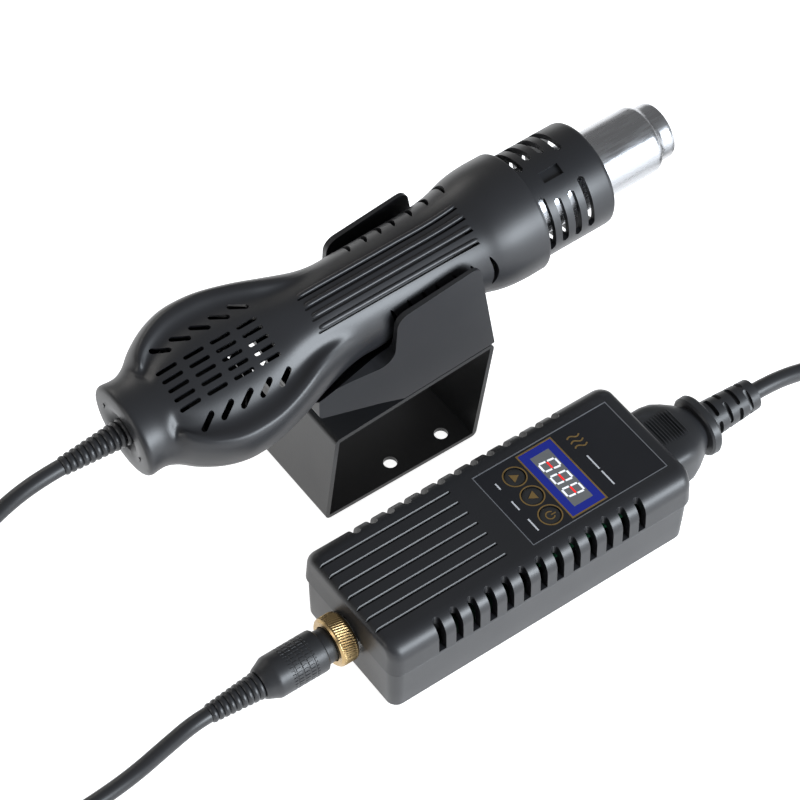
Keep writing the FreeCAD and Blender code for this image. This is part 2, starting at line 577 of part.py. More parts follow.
def blower():
    x, half = "dims.fan_station", "dims.fan_height / 2"
    ring = rod("scroll_ring", "dims.fan_radius + 2.0", "dims.fan_height + 1.6", x, 0, "-%s - 0.8" % half)
    hole = rod("scroll_hole", "dims.fan_radius + 0.7", 20, x, 0, -7)
    mouth = block("scroll_mouth", 12, 16, "dims.fan_height - 1", "%s + 16" % x, 0, "-%s + 0.5" % half)
    floor = rod("scroll_floor", "dims.fan_radius + 1.5", 0.8, x, 0, "-%s - 1.6" % half)
    intakes = []
    for number in range(6):
        turn = math.radians(60 * number + 30)
        intakes.append(rod("floor_hole_%d" % number, 3.2, 3, "%s + %.4f" % (x, 10.4 * math.cos(turn)),
                           10.4 * math.sin(turn), "-%s - 2.6" % half))
    wall = cut("scroll_wall", ring, [hole, mouth])
    node("blower_housing", fuse("scroll_whole", [wall, cut("scroll_base", floor, intakes)]), GUN)
    can = rod("motor_can", 5.6, 3.0, x, 0, "-%s - 0.8" % half)
    shaft = rod("motor_shaft", 0.75, 11.0, x, 0, "-%s + 1.0" % half)
    node("blower_motor", fuse("blower_motor", [can, shaft]), GUN)
    hub = rod("hub", 6.0, 6.4, x, 0, "-%s + 2.8" % half)
    disc = rod("fan_disc", "dims.fan_radius", 1.0, x, 0, "-%s + 2.8" % half)
    blades = []
    for number in range(24):
        turn = Rotation(Vector(0, 0, 1), 15 * number)
        lean = Rotation(Vector(0, 0, 1), 15 * number + 28)
        foot = Vector(size("fan_station"), 0, -size("fan_height") / 2 + 3.2)
        foot = foot + turn.multVec(Vector(size("fan_radius") - 4.4, 0, 0))
        blades.append(turned_block("fan_blade_%d" % number, 4.0, 0.7, "dims.fan_height - 3.4",
                                   Placement(foot, lean)))
    bore = rod("hub_bore", 0.8, 20, x, 0, -10)
    node("blower_impeller", cut("impeller_cut", fuse("impeller_whole", [hub, disc] + blades), [bore]), GUN)


def tube(name, radius, wall, start, end):
    outer = rod(name + "_outer", radius, "%s - (%s)" % (end, start), start, 0, 0, "x")
    inner = rod(name + "_inner", "%s - (%s)" % (radius, wall), "%s - (%s) + 4" % (end, start),
                "%s - 2" % start, 0, 0, "x")
    return outer, inner


# Station along the handpiece, and the two angles from the top that a slot spans.
GUARD_SLOTS = [(141.3, 16, 81), (145.9, 24, 78), (150.8, 24, 80), (155.6, 16, 78)]


def nozzle_end():
    root = rod("barrel_root", "dims.barrel_radius - dims.seat_relief", "dims.seat_start - 129", 129.5, 0, 0, "x")
    seat = rod("barrel_seat", "dims.barrel_radius", "dims.barrel_shoulder - dims.seat_start",
               "dims.seat_start", 0, 0, "x")
    shoulder = "dims.barrel_shoulder"
    neck = taper("barrel_neck", "dims.barrel_radius", "dims.tip_radius", 1.2, shoulder, 0, 0, "x")
    tip = rod("barrel_tip", "dims.tip_radius", "dims.tip_end - dims.barrel_shoulder - 1",
              shoulder + " + 1", 0, 0, "x")
    tip_bore = rod("tip_bore", "dims.tip_radius - dims.barrel_wall", 12, shoulder + " - 3", 0, 0, "x")
    main_room = rod("barrel_room", "dims.barrel_radius - dims.barrel_wall", "dims.barrel_shoulder - 129.5",
                    129.0, 0, 0, "x")
    flange = rod("barrel_flange", 14.8, 0.8, 129.5, 0, 0, "x")
    spots = [(12.9 * math.cos(math.radians(a)), 12.9 * math.sin(math.radians(a))) for a in (90, 210, 330)]
    holes = [rod("flange_hole_%d" % n, 1.1, 4, 128, y, z, "x") for n, (y, z) in enumerate(spots)]
    solid = fuse("barrel_solid", [root, seat, neck, tip, flange])
    node("steel_barrel", cut("steel_barrel", solid, [main_room, tip_bore] + holes), GUN)
    screws = [fuse("flange_screw_%d" % n, [rod("flange_head_%d" % n, 1.8, 1.2, 130.35, y, z, "x"),
                                           rod("flange_shank_%d" % n, 1.0, 5, 125.4, y, z, "x")])
              for n, (y, z) in enumerate(spots)]
    node("flange_screws", together("flange_screws", screws), GUN)
    mount = rod("heater_mount_disc", 16.2, 4.3, 125.2, 0, 0, "x")
    way = rod("heater_mount_way", 10.6, 6, 124, 0, 0, "x")
    sockets = [rod("mount_socket_%d" % n, 1.05, 6, 124, y, z, "x") for n, (y, z) in enumerate(spots)]
    node("heater_mount", cut("heater_mount", mount, [way] + sockets), GUN)
    guard_outer, guard_inner = tube("guard", "dims.guard_radius", "dims.guard_wall", 131.0, "dims.guard_end")
    slots = [made("guard_ring_%d" % n, guard_slots(*row)) for n, row in enumerate(GUARD_SLOTS)]
    marker = block("guard_panel", 7.0, 3.8, 2, 148.4, 0, "dims.guard_radius - 0.6")
    rest = cut("guard_cut", guard_outer, [guard_inner] + slots + [marker])
    node("barrel_guard", rest, GUN)


def guard_slots(station, low, high):
    """Four slots round the guard at one station, mirrored about both mid-planes."""
    slots = []
    ring = Part.makeCylinder(20, 2.2, Vector(station - 1.1, 0, 0), Vector(1, 0, 0))
    for start in (low, 180 - high, 180 + low, 360 - high):
        spread = math.radians(high - low)
        begin = math.radians(start)
        points = [Vector(station, 0, 0)]
        for step in range(5):
            angle = begin + spread * step / 4
            points.append(Vector(station, 30 * math.sin(angle), 30 * math.cos(angle)))
        wedge = Part.Face(Part.makePolygon(points + points[:1])).extrude(Vector(1.1, 0, 0))
        wedge = wedge.fuse(wedge.translated(Vector(-1.1, 0, 0)))
        slots.append(wedge.common(ring))
    return Part.makeCompound(slots)


def heater():
    outer, inner = tube("mica", 10.3, 0.5, 131, 184)
    node("heater_sleeve", cut("heater_sleeve", outer, [inner]), GUN)
    core = rod("core_rod", 8.0, 50, 132, 0, 0, "x")
    ways = []
    for number in range(6):
        turn = math.radians(60 * number)
        y, z = 4.8 * math.cos(turn), 4.8 * math.sin(turn)
        ways.append(rod("core_way_%d" % number, 1.7, 54, 130, y, z, "x"))
    node("heater_core", cut("heater_core", core, ways), GUN)
    rings = []
    for number in range(12):
        wire = bind(doc.addObject("Part::Torus", "wire_%d" % number), Radius1=8.75, Radius2=0.45)
        wire.Placement = Placement(Vector(136 + 3.8 * number, 0, 0), TURNS["x"])
        rings.append(wire)
    node("heater_wire", together("heater_wire", rings), GUN)
    duct_outer, duct_inner = tube("duct", 9.8, 1.0, 68, 125.2)
    node("air_duct", cut("air_duct", duct_outer, [duct_inner]), GUN)
    board = block("sensor_board_blank", 22, 8, 1.2, 96, 0, -12.6)
    reed = rod("reed", 1.1, 13, 89.5, 0, -11.5, "x")
    reed_top = common("reed_top", [reed, block("reed_room", 40, 8, 4, 96, 0, -12.0)])
    node("standby_sensor", fuse("standby_sensor", [board, reed_top]), GUN)


# Cords ----------------------------------------------------------------------------------------

COIL_LIFT = 0.8
CABLE_COIL = dict(x=-204.0, y=36.8, radius=28.0, half=6.0, height=15.4)
CORD_COIL = dict(x=192.0, y=18.0, radius=32.0, half=6.2, height=17.6)

CABLE_TO_PLUG = [(-103.7, 0, 14.25), (-108.5, 0, 14.25), (-117, 0, 11.1), (-131, 0, 5.3), (-148, 0, 3.1),
                 (-168, -0.2, 3.3), (-186, -0.6, 3.1), (-204, -0.1, 3.2)]
CABLE_TO_GUN = [tuple(GUN.multVec(Vector(-20.3, 0, 0))), tuple(GUN.multVec(Vector(-28.3, 0, 0))),
                (-128, 64, 61.2), (-141, 64, 53), (-152.5, 64, 41), (-161.5, 63.9, 28), (-171, 63.8, 16.5),
                (-185, 63.6, 8.5)]
CORD_TO_BOX = [(98, 0, 14.25), (105, 0, 14.25), (117, -0.2, 11.6), (130, -1.2, 6.6), (143, -4.2, 3.9),
               (156, -9.4, 3.3), (169, -14.6, 3.4), (181, -16.8, 3.6)]
CORD_TO_PLUG = [(202, -16.8, 12), (219, -16.2, 11.6), (235, -8.2, 13.2), (244, 6.4, 16.6),
                (245.6, 23.5, 18.5), (245.6, 31.5, 18.5)]


def cord_solid(name, points, diameter):
    """Straight runs joined by tangent arcs, each as large as its two runs allow."""
    spots = [Vector(*point) for point in points]
    edges, at, radii = [], spots[0], []
    for before, corner, after in zip(spots, spots[1:], spots[2:]):
        back, ahead = before - corner, after - corner
        turn = math.pi - back.getAngle(ahead)
        reach = 0.45 * min(back.Length, ahead.Length)
        radii.append(reach / math.tan(turn / 2))
        start = corner + back.normalize() * reach
        end = corner + ahead.normalize() * reach
        inward = (back + ahead).normalize()
        middle = corner + inward * (radii[-1] * (1 / math.cos(turn / 2) - 1))
        edges += [Part.LineSegment(at, start).toShape(), Part.Arc(start, middle, end).toShape()]
        at = end
    edges.append(Part.LineSegment(at, spots[-1]).toShape())
    path = Part.Wire(edges)
    ring = Part.Wire([Part.makeCircle(diameter / 2, spots[0], spots[1] - spots[0])])
    solid = path.makePipeShell([ring], True, True)
    expected = math.pi * diameter ** 2 / 4 * path.Length
    print("%s: length %.1f mm, radii %s, volume %.3f of the straight tube" % (
        name, path.Length, ["%.0f" % r for r in radii], solid.Volume / expected))
    return node(name, made(name, solid))


def coil(name, ring):
    """Flat closed ring that the put-away turns of a cord fill."""
    centre = Vector(ring["x"], ring["y"], COIL_LIFT)
    outer = Part.makeCylinder(ring["radius"] + ring["half"], ring["height"], centre)
    inner = Part.makeCylinder(ring["radius"] - ring["half"], ring["height"], centre)
    return node(name, made(name, outer.cut(inner)))


def coil_tie(name, ring):
    """Strap round the ring's section on its -X side."""
    x = ring["x"] - ring["radius"]
    wide, tall = 2 * ring["half"] + 0.5, ring["height"] + 0.3
    outer = Part.makeBox(wide + 1.2, 6, tall + 1.3, Vector(x - wide / 2 - 0.6, ring["y"] - 3, 0))
    inner = Part.makeBox(wide, 8, tall, Vector(x - wide / 2, ring["y"] - 4, 0.65))
    return node(name, made(name, outer.cut(inner)))


def mains_plug():
    """Round mains plug lying beside its coil, with its two round pins."""
    x, y, z = CORD_TO_PLUG[-1]
    ahead = Vector(0, 1, 0)
    tail = Part.makeCone(3.9, 6.5, 12, Vector(x, y + 0.1, z), ahead)
    neck = Part.makeCone(8.0, 17.6, 10, Vector(x, y + 12.0, z), ahead)
    head = Part.makeCylinder(18.3, 22, Vector(x, y + 21.9, z), ahead)
    face = y + 43.9
    body = tail.fuse([neck, head])
    for side in (-1, 1):
        body = body.cut(Part.makeBox(6, 40, 40, Vector(x + side * 20.6 - 3, y + 10, z - 20)))
        body = body.cut(Part.makeCylinder(2.25, 8, Vector(x + side * 9.5, face, z), -ahead))
    node("mains_plug", made("mains_plug", body))
    pins = []
    for side in (-1, 1):
        root = Part.makeCylinder(2.2, 8.1, Vector(x + side * 9.5, face - 7.9, z), ahead)
        shank = Part.makeCylinder(2.4, 18.2, Vector(x + side * 9.5, face + 0.2, z), ahead)
        tip = Part.makeCone(2.4, 1.7, 0.7, Vector(x + side * 9.5, face + 18.4, z), ahead)
        pins.append(root.fuse([shank, tip]))
    node("mains_plug_pins", made("mains_plug_pins", Part.makeCompound(pins)))


case_bottom()
case_top()
case_screws()
panel()
power_electronics()
output_socket()
cable_plug()
mains_inlet()
mains_connector()
stand_bracket()
stand_cradle()
stand_trim()
handle_shells()
blower()
nozzle_end()
heater()
cord_solid("cable_plug_end", CABLE_TO_PLUG, size("cable_diameter"))
cord_solid("cable_gun_end", CABLE_TO_GUN, size("cable_diameter"))
coil("cable_coil", CABLE_COIL)
coil_tie("cable_tie", CABLE_COIL)
cord_solid("mains_cord", CORD_TO_BOX, size("cord_diameter"))
cord_solid("mains_cord_end", CORD_TO_PLUG, size("cord_diameter"))
coil("mains_coil", CORD_COIL)
coil_tie("mains_tie", CORD_COIL)
mains_plug()

doc.recompute()
for item in doc.Objects:
    if "Invalid" in item.State or "Error" in item.State:
        raise RuntimeError("failed object: %s" % item.Name)
for label, item in NODES:
    if item.Shape.isNull() or not item.Shape.isValid() or not item.Shape.Solids:
        raise RuntimeError("bad shape: %s" % label)
    item.Shape.exportStep("parts/%s.step" % label)
    bounds = item.Shape.BoundBox
    print("%-22s solids %2d  volume %9.1f  x %7.1f %7.1f  y %7.1f %7.1f  z %6.1f %6.1f" % (
        label, len(item.Shape.Solids), item.Shape.Volume, bounds.XMin, bounds.XMax, bounds.YMin,
        bounds.YMax, bounds.ZMin, bounds.ZMax))
print("nodes", len(NODES))
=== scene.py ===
import json
import math

import bmesh
import bpy
import numpy as np
from mathutils import Matrix, Vector


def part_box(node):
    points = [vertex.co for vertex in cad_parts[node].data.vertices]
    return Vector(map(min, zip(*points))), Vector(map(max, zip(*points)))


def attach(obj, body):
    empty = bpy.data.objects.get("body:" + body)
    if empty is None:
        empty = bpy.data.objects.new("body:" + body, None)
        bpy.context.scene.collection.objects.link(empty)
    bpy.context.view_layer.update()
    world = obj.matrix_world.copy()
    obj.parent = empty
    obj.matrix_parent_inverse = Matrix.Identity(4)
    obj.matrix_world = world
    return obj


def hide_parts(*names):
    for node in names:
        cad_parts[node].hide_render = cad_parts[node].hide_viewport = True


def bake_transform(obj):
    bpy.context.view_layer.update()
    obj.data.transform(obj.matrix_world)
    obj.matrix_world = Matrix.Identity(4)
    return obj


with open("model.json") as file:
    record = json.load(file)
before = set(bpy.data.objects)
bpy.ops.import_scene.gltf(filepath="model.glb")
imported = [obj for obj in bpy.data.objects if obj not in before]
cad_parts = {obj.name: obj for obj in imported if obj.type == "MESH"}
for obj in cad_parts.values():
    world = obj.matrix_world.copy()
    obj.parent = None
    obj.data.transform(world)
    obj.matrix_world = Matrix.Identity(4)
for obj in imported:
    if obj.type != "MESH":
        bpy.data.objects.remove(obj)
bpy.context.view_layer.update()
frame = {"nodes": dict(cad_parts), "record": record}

MM = 0.001
RECORD = frame["record"]
MOUNTS = {mount["name"]: mount for mount in RECORD["mounts"]}


# Camera ---------------------------------------------------------------------------------------

def make_camera():
    """Long lens from the control box's near side; its axes are right, up and back."""
    right = Vector((0.80713, -0.59009, 0.01870)).normalized()
    back = Vector((-0.38103, -0.49648, 0.77995)).normalized()
    right = (right - back * right.dot(back)).normalized()
    up = back.cross(right)
    target = Vector((0.01506, 0.06995, 0.0))
    data = bpy.data.cameras.new("camera")
    data.lens = 132.66
    data.sensor_width = 36.0
    data.clip_start, data.clip_end = 0.05, 20.0
    camera = bpy.data.objects.new("camera", data)
    turn = Matrix((right, up, back)).transposed().to_4x4()
    camera.matrix_world = Matrix.Translation(target + back * 0.92683) @ turn
    bpy.context.collection.objects.link(camera)
    bpy.context.scene.camera = camera


# Materials ------------------------------------------------------------------------------------

def new_material(name):
    material = bpy.data.materials.new(name)
    material.use_nodes = True
    nodes = material.node_tree.nodes
    return material, nodes, material.node_tree.links, nodes["Principled BSDF"]


def noise(nodes, links, scale, detail, stretch=None):
    texture = nodes.new("ShaderNodeTexNoise")
    texture.inputs["Scale"].default_value = scale
    texture.inputs["Detail"].default_value = detail
    place = nodes.new("ShaderNodeTexCoord")
    if stretch:
        mapping = nodes.new("ShaderNodeMapping")
        mapping.inputs["Scale"].default_value = stretch
        links.new(place.outputs["Object"], mapping.inputs["Vector"])
        links.new(mapping.outputs["Vector"], texture.inputs["Vector"])
    else:
        links.new(place.outputs["Object"], texture.inputs["Vector"])
    return texture


def ramp_between(nodes, links, source, low, high, start=0.3, end=0.7):
    ramp = nodes.new("ShaderNodeMapRange")
    ramp.inputs["From Min"].default_value = start
    ramp.inputs["From Max"].default_value = end
    ramp.inputs["To Min"].default_value = low
    ramp.inputs["To Max"].default_value = high
    links.new(source, ramp.inputs["Value"])
    return ramp.outputs["Result"]


def plastic(name, color, roughness, grain=0.02, grain_scale=2600.0, vary=0.12, specular=0.5, coat=0.0):
    """Moulded plastic: fine eroded grain, slight change of shade and gloss."""
    material, nodes, links, shader = new_material(name)
    shader.inputs["Specular IOR Level"].default_value = specular
    shader.inputs["Coat Weight"].default_value = coat
    shader.inputs["Coat Roughness"].default_value = 0.3
    cloud = noise(nodes, links, 45.0, 3.0)
    mix = nodes.new("ShaderNodeMix")
    mix.data_type = "RGBA"
    mix.inputs["A"].default_value = (*[c * (1 - vary) for c in color], 1)
    mix.inputs["B"].default_value = (*[c * (1 + vary) for c in color], 1)
    links.new(cloud.outputs["Fac"], mix.inputs["Factor"])
    links.new(mix.outputs["Result"], shader.inputs["Base Color"])
    links.new(ramp_between(nodes, links, cloud.outputs["Fac"], roughness - 0.03, roughness + 0.03),
              shader.inputs["Roughness"])
    grainy = noise(nodes, links, grain_scale, 2.0)
    bump = nodes.new("ShaderNodeBump")
    bump.inputs["Strength"].default_value = grain
    bump.inputs["Distance"].default_value = 0.0002
    links.new(grainy.outputs["Fac"], bump.inputs["Height"])
    links.new(bump.outputs["Normal"], shader.inputs["Normal"])
    return material


def metal(name, color, roughness, stretch=(1, 1, 1), scale=900.0, bump_strength=0.05):
    """Metal with a drawn or turned finish along the short axis of the stretch."""
    material, nodes, links, shader = new_material(name)
    shader.inputs["Metallic"].default_value = 1.0
    streak = noise(nodes, links, scale, 6.0, stretch)
    mix = nodes.new("ShaderNodeMix")
    mix.data_type = "RGBA"
    mix.inputs["A"].default_value = (*[c * 0.86 for c in color], 1)
    mix.inputs["B"].default_value = (*[min(1.0, c * 1.08) for c in color], 1)
    links.new(streak.outputs["Fac"], mix.inputs["Factor"])
    links.new(mix.outputs["Result"], shader.inputs["Base Color"])
    links.new(ramp_between(nodes, links, streak.outputs["Fac"], roughness * 0.75, roughness * 1.3),
              shader.inputs["Roughness"])
    bump = nodes.new("ShaderNodeBump")
    bump.inputs["Strength"].default_value = bump_strength
    bump.inputs["Distance"].default_value = 0.0002
    links.new(streak.outputs["Fac"], bump.inputs["Height"])
    links.new(bump.outputs["Normal"], shader.inputs["Normal"])
    return material


def glow(name, color, strength):
    material, nodes, links, shader = new_material(name)
    shader.inputs["Base Color"].default_value = (*color, 1)
    shader.inputs["Emission Color"].default_value = (*color, 1)
    shader.inputs["Emission Strength"].default_value = strength
    shader.inputs["Roughness"].default_value = 0.35
    return material


def make_materials():
    return {
        "handle_plastic": plastic("handle_plastic", (0.0165, 0.0170, 0.0195), 0.40, 0.05),
        "case_plastic": plastic("case_plastic", (0.0165, 0.0170, 0.0195), 0.40, 0.05),
        "guard_plastic": plastic("guard_plastic", (0.014, 0.0147, 0.0172), 0.40, 0.04),
        "black_sheet": plastic("black_sheet", (0.016, 0.0165, 0.018), 0.36, 0.10, 1500.0),
        "barrel_steel": metal("barrel_steel", (0.46, 0.47, 0.49), 0.27, (0.10, 1, 1), 900.0, 0.12),
        "brass": metal("brass", (0.44, 0.31, 0.15), 0.30, (0.3, 1, 1), 900.0),
        "screw_steel": metal("screw_steel", (0.56, 0.57, 0.59), 0.30),
        "nickel": metal("nickel", (0.70, 0.69, 0.66), 0.25),
        "aluminium": metal("aluminium", (0.75, 0.76, 0.78), 0.35, (0.1, 1, 1)),
        "cord_rubber": plastic("cord_rubber", (0.018, 0.0187, 0.021), 0.40, 0.03, 1800.0),
        "connector_rubber": plastic("connector_rubber", (0.020, 0.0207, 0.023), 0.42, 0.05, 1800.0),
        "button_rubber": plastic("button_rubber", (0.020, 0.0205, 0.022), 0.45, 0.03, 1800.0),
        "tie_plastic": plastic("tie_plastic", (0.02, 0.02, 0.02), 0.5, 0.05),
        "label": plastic("label", (0.0100, 0.0108, 0.0140), 0.33, 0.02, 1200.0),
        "gold_print": metal("gold_print", (0.62, 0.42, 0.17), 0.32),
        "white_print": plastic("white_print", (0.62, 0.63, 0.66), 0.45, 0.02),
        "blue_print": plastic("blue_print", (0.010, 0.022, 0.28), 0.35, 0.02),
        "display_glass": plastic("display_glass", (0.16, 0.165, 0.17), 0.22, 0.01, coat=0.6),
        "segments_white": glow("segments_white", (0.80, 0.82, 0.85), 0.5),
        "segments_red": glow("segments_red", (0.80, 0.02, 0.02), 0.7),
        "black_part": plastic("black_part", (0.016, 0.016, 0.016), 0.5, 0.05),
        "circuit_board": plastic("circuit_board", (0.015, 0.09, 0.04), 0.35, 0.03),
        "fuse_glass": plastic("fuse_glass", (0.6, 0.65, 0.65), 0.1, 0.0),
        "ceramic": plastic("ceramic", (0.74, 0.71, 0.64), 0.6, 0.08),
    }


def paint_nodes(materials):
    """Every carried-over node takes the procedural material of its slot."""
    for part in RECORD["subparts"]:
        item = frame["nodes"][part["node"]]
        item.data.materials.clear()
        item.data.materials.append(materials[part["material_slot"]])


# Mesh helpers ---------------------------------------------------------------------------------

def piece(name, verts, faces, material, body, smooth=35.0):
    mesh = bpy.data.meshes.new(name)
    mesh.from_pydata([tuple(v) for v in verts], [], faces)
    mesh.validate()
    cleaned = bmesh.new()
    cleaned.from_mesh(mesh)
    bmesh.ops.recalc_face_normals(cleaned, faces=cleaned.faces)
    cleaned.to_mesh(mesh)
    cleaned.free()
    item = bpy.data.objects.new(name, mesh)
    bpy.context.collection.objects.link(item)
    if material:
        mesh.materials.append(MATERIALS[material])
    shade(item, smooth)
    if body:
        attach(item, body)
    return item


def shade(item, degrees=35.0):
    for polygon in item.data.polygons:
        polygon.use_smooth = True
    item.data.set_sharp_from_angle(angle=math.radians(degrees))


def rings_mesh(rings, close_start=True, close_end=True, loop=True):
    """Faces between equal rings of points; returns vertices and faces."""
    verts = [point for ring in rings for point in ring]
    count = len(rings[0])
    faces = []
    for row in range(len(rings) - 1):
        for column in range(count if loop else count - 1):
            a = row * count + column
            b = row * count + (column + 1) % count
            faces.append((a, b, b + count, a + count))
    if close_start:
        faces.append(tuple(range(count))[::-1])
    if close_end:
        faces.append(tuple(range((len(rings) - 1) * count, len(rings) * count)))
    return verts, faces


def circle(count):
    """Angles of a full circle in equal steps."""
    return [2 * math.pi * step / count for step in range(count)]


def lathe(name, profile, base, axis, material, body, segments=72, wobble=None, smooth=35.0):
    """Turned piece: profile is (distance along the axis, radius) pairs, all in millimetres."""
    axis = Vector(axis).normalized()
    side = axis.orthogonal().normalized()
    other = axis.cross(side)
    rings = []
    for along, radius in profile:
        ring = []
        for angle in circle(segments):
            r = radius + (wobble(along, angle, radius) if wobble else 0)
            out = side * math.cos(angle) + other * math.sin(angle)
            ring.append(Vector(base) + (axis * along + out * r) * MM)
        rings.append(ring)
    verts, faces = rings_mesh(rings)
    return piece(name, verts, faces, material, body, smooth)


def bevel(item, width, segments=2, angle=40.0):
    modifier = item.modifiers.new("edges", "BEVEL")
    modifier.width = width * MM
    modifier.segments = segments
    modifier.limit_method = "ANGLE"
    modifier.angle_limit = math.radians(angle)
    modifier.harden_normals = False


def merge_meshes(name, meshes):
    """One object from (vertices, faces) pairs."""
    verts, faces = [], []
    for part_verts, part_faces in meshes:
        start = len(verts)
        verts += list(part_verts)
        faces += [tuple(start + index for index in face) for face in part_faces]
    mesh = bpy.data.meshes.new(name)
    mesh.from_pydata([tuple(v) for v in verts], [], faces)
    item = bpy.data.objects.new(name, mesh)
    bpy.context.collection.objects.link(item)
    cleaned = bmesh.new()
    cleaned.from_mesh(mesh)
    bmesh.ops.recalc_face_normals(cleaned, faces=cleaned.faces)
    cleaned.to_mesh(mesh)
    cleaned.free()
    return item


def carve(item, cutters):
    """Subtracts closed (vertices, faces) cutters from a piece and applies the result."""
    tool = merge_meshes("cutter", cutters)
    modifier = item.modifiers.new("carve", "BOOLEAN")
    modifier.operation = "DIFFERENCE"
    modifier.solver = "EXACT"
    modifier.object = tool
    bake(item)
    bpy.data.objects.remove(tool)


def bake(item):
    """Applies every modifier of a piece to its mesh."""
    bpy.context.view_layer.update()
    shown = item.evaluated_get(bpy.context.evaluated_depsgraph_get())
    mesh = bpy.data.meshes.new_from_object(shown)
    old = item.data
    item.modifiers.clear()
    item.data = mesh
    bpy.data.meshes.remove(old)


def slot_cutter(centre, along, across, up, length, width, depth, corners=6):
    """Round-ended slot: centre, three unit directions, and its length, width and depth in mm."""
    outline = []
    half = (length - width) / 2
    for end in (1, -1):
        for step in range(corners + 1):
            angle = math.pi * (step / corners - 0.5)
            outline.append((end * (half + width / 2 * math.cos(angle)), end * width / 2 * math.sin(angle)))
    rings = []
    for level in (-depth / 2, depth / 2):
        rings.append([centre + (along * x + across * y + up * level) * MM for x, y in outline])
    return rings_mesh(rings)


def box_mesh(low, high):
    xs, ys, zs = zip(low, high)
    corners = [(xs[i], ys[j], zs[k]) for k in (0, 1) for i, j in ((0, 0), (1, 0), (1, 1), (0, 1))]
    return corners, [(3, 2, 1, 0), (4, 5, 6, 7), (0, 1, 5, 4), (1, 2, 6, 5), (2, 3, 7, 6), (3, 0, 4, 7)]


# Handpiece ------------------------------------------------------------------------------------

AXIS = Vector(MOUNTS["nozzle_seat"]["axis"]).normalized()
ROLL = math.radians(20.0)
SIDE_FLAT = Vector((0, 1, 0))
TOP_FLAT = AXIS.cross(SIDE_FLAT)
SIDE = SIDE_FLAT * math.cos(ROLL) + TOP_FLAT * math.sin(ROLL)
TOP = TOP_FLAT * math.cos(ROLL) - SIDE_FLAT * math.sin(ROLL)
SEAT_STATION = 177.3
REAR = Vector(MOUNTS["nozzle_seat"]["pos_m"]) - AXIS * SEAT_STATION * MM


def at(station, across, height):
    """Point of the handpiece in the row frame from its own millimetres."""
    return REAR + (AXIS * station + SIDE * across + TOP * height) * MM


def table(rows):
    """Smooth function through (station, value) rows."""
    xs = np.array([row[0] for row in rows], float)
    ys = np.array([row[1] for row in rows], float)
    slopes = np.gradient(ys, xs)

    def value(x):
        x = min(max(x, xs[0]), xs[-1])
        k = min(int(np.searchsorted(xs, x, side="right")) - 1, len(xs) - 2)
        h = xs[k + 1] - xs[k]
        u = (x - xs[k]) / h
        return float(ys[k] * (1 + 2 * u) * (1 - u) ** 2 + slopes[k] * h * u * (1 - u) ** 2
                     + ys[k + 1] * u * u * (3 - 2 * u) + slopes[k + 1] * h * u * u * (u - 1))
    return value


def smoothstep(low, high, x):
    u = min(max((x - low) / (high - low), 0.0), 1.0)
    return u * u * (3 - 2 * u)


HALF_WIDTH = table([(0, 14.9), (7.5, 14.95), (10, 16.2), (13.7, 19.2), (17, 21.3), (20, 22.8), (24, 24.2),
                    (28, 25.0), (33, 25.1), (38, 24.6), (44, 23.3), (50, 21.6), (56, 19.6), (62, 17.8),
                    (68, 16.2), (74, 15.3), (80, 15.3), (95, 15.55), (110, 15.95), (115, 16.5), (119, 17.3),
                    (123, 18.4), (127, 19.1), (131, 19.4), (139, 19.4)])
HALF_HEIGHT = table([(0, 12.7), (7, 12.8), (14, 13.6), (22, 14.4), (40, 14.7), (55, 15.2), (66, 15.5),
                     (80, 15.5), (95, 15.6), (110, 15.9), (115, 16.5), (119, 17.2), (123, 18.3), (127, 19.0),
                     (131, 19.3), (139, 19.3)])
RIDGE_SHARE = table([(8, 0.62), (11, 0.66), (15, 0.77), (22, 0.83), (31, 0.84), (42, 0.84), (51, 0.79),
                     (62, 0.67), (70, 0.52), (78, 0.4)])
RIDGE_HEIGHT = table([(8, 11.0), (15, 11.2), (30, 11.4), (45, 11.5), (55, 12.2), (62, 13.0), (70, 14.0),
                      (78, 15.0)])
GUARD_RADIUS = 17.1
SHELL_END = 138.8
RIB_ANGLES = (-21.5, -7.0, 7.0, 21.5)


def shell_point(station, share):
    """Outer surface of the upper half; share runs from -1 at one seam over 0 on top to 1."""
    side = -1 if share < 0 else 1
    w = abs(share)
    width, height = HALF_WIDTH(station), HALF_HEIGHT(station)
    y_round, z_round = width * math.sin(w * math.pi / 2), height * math.cos(w * math.pi / 2)
    ridged = smoothstep(8.5, 12.5, station) * (1 - smoothstep(52, 76, station))
    ridge = RIDGE_SHARE(station) * width
    crest = min(RIDGE_HEIGHT(station), height - 0.3)
    split = 0.62
    if w <= split:
        u = w / split
        y_rim = ridge * u
        z_rim = height - (height - crest) * u ** 2.0 - 1.9 * math.sin(math.pi * u ** 2.2) ** 2
    else:
        angle = (w - split) / (1 - split) * math.pi / 2
        y_rim = ridge + (width - ridge) * math.sin(angle)
        z_rim = crest * math.cos(angle)
    y = y_round + (y_rim - y_round) * ridged
    z = z_round + (z_rim - z_round) * ridged
    return side * y, z


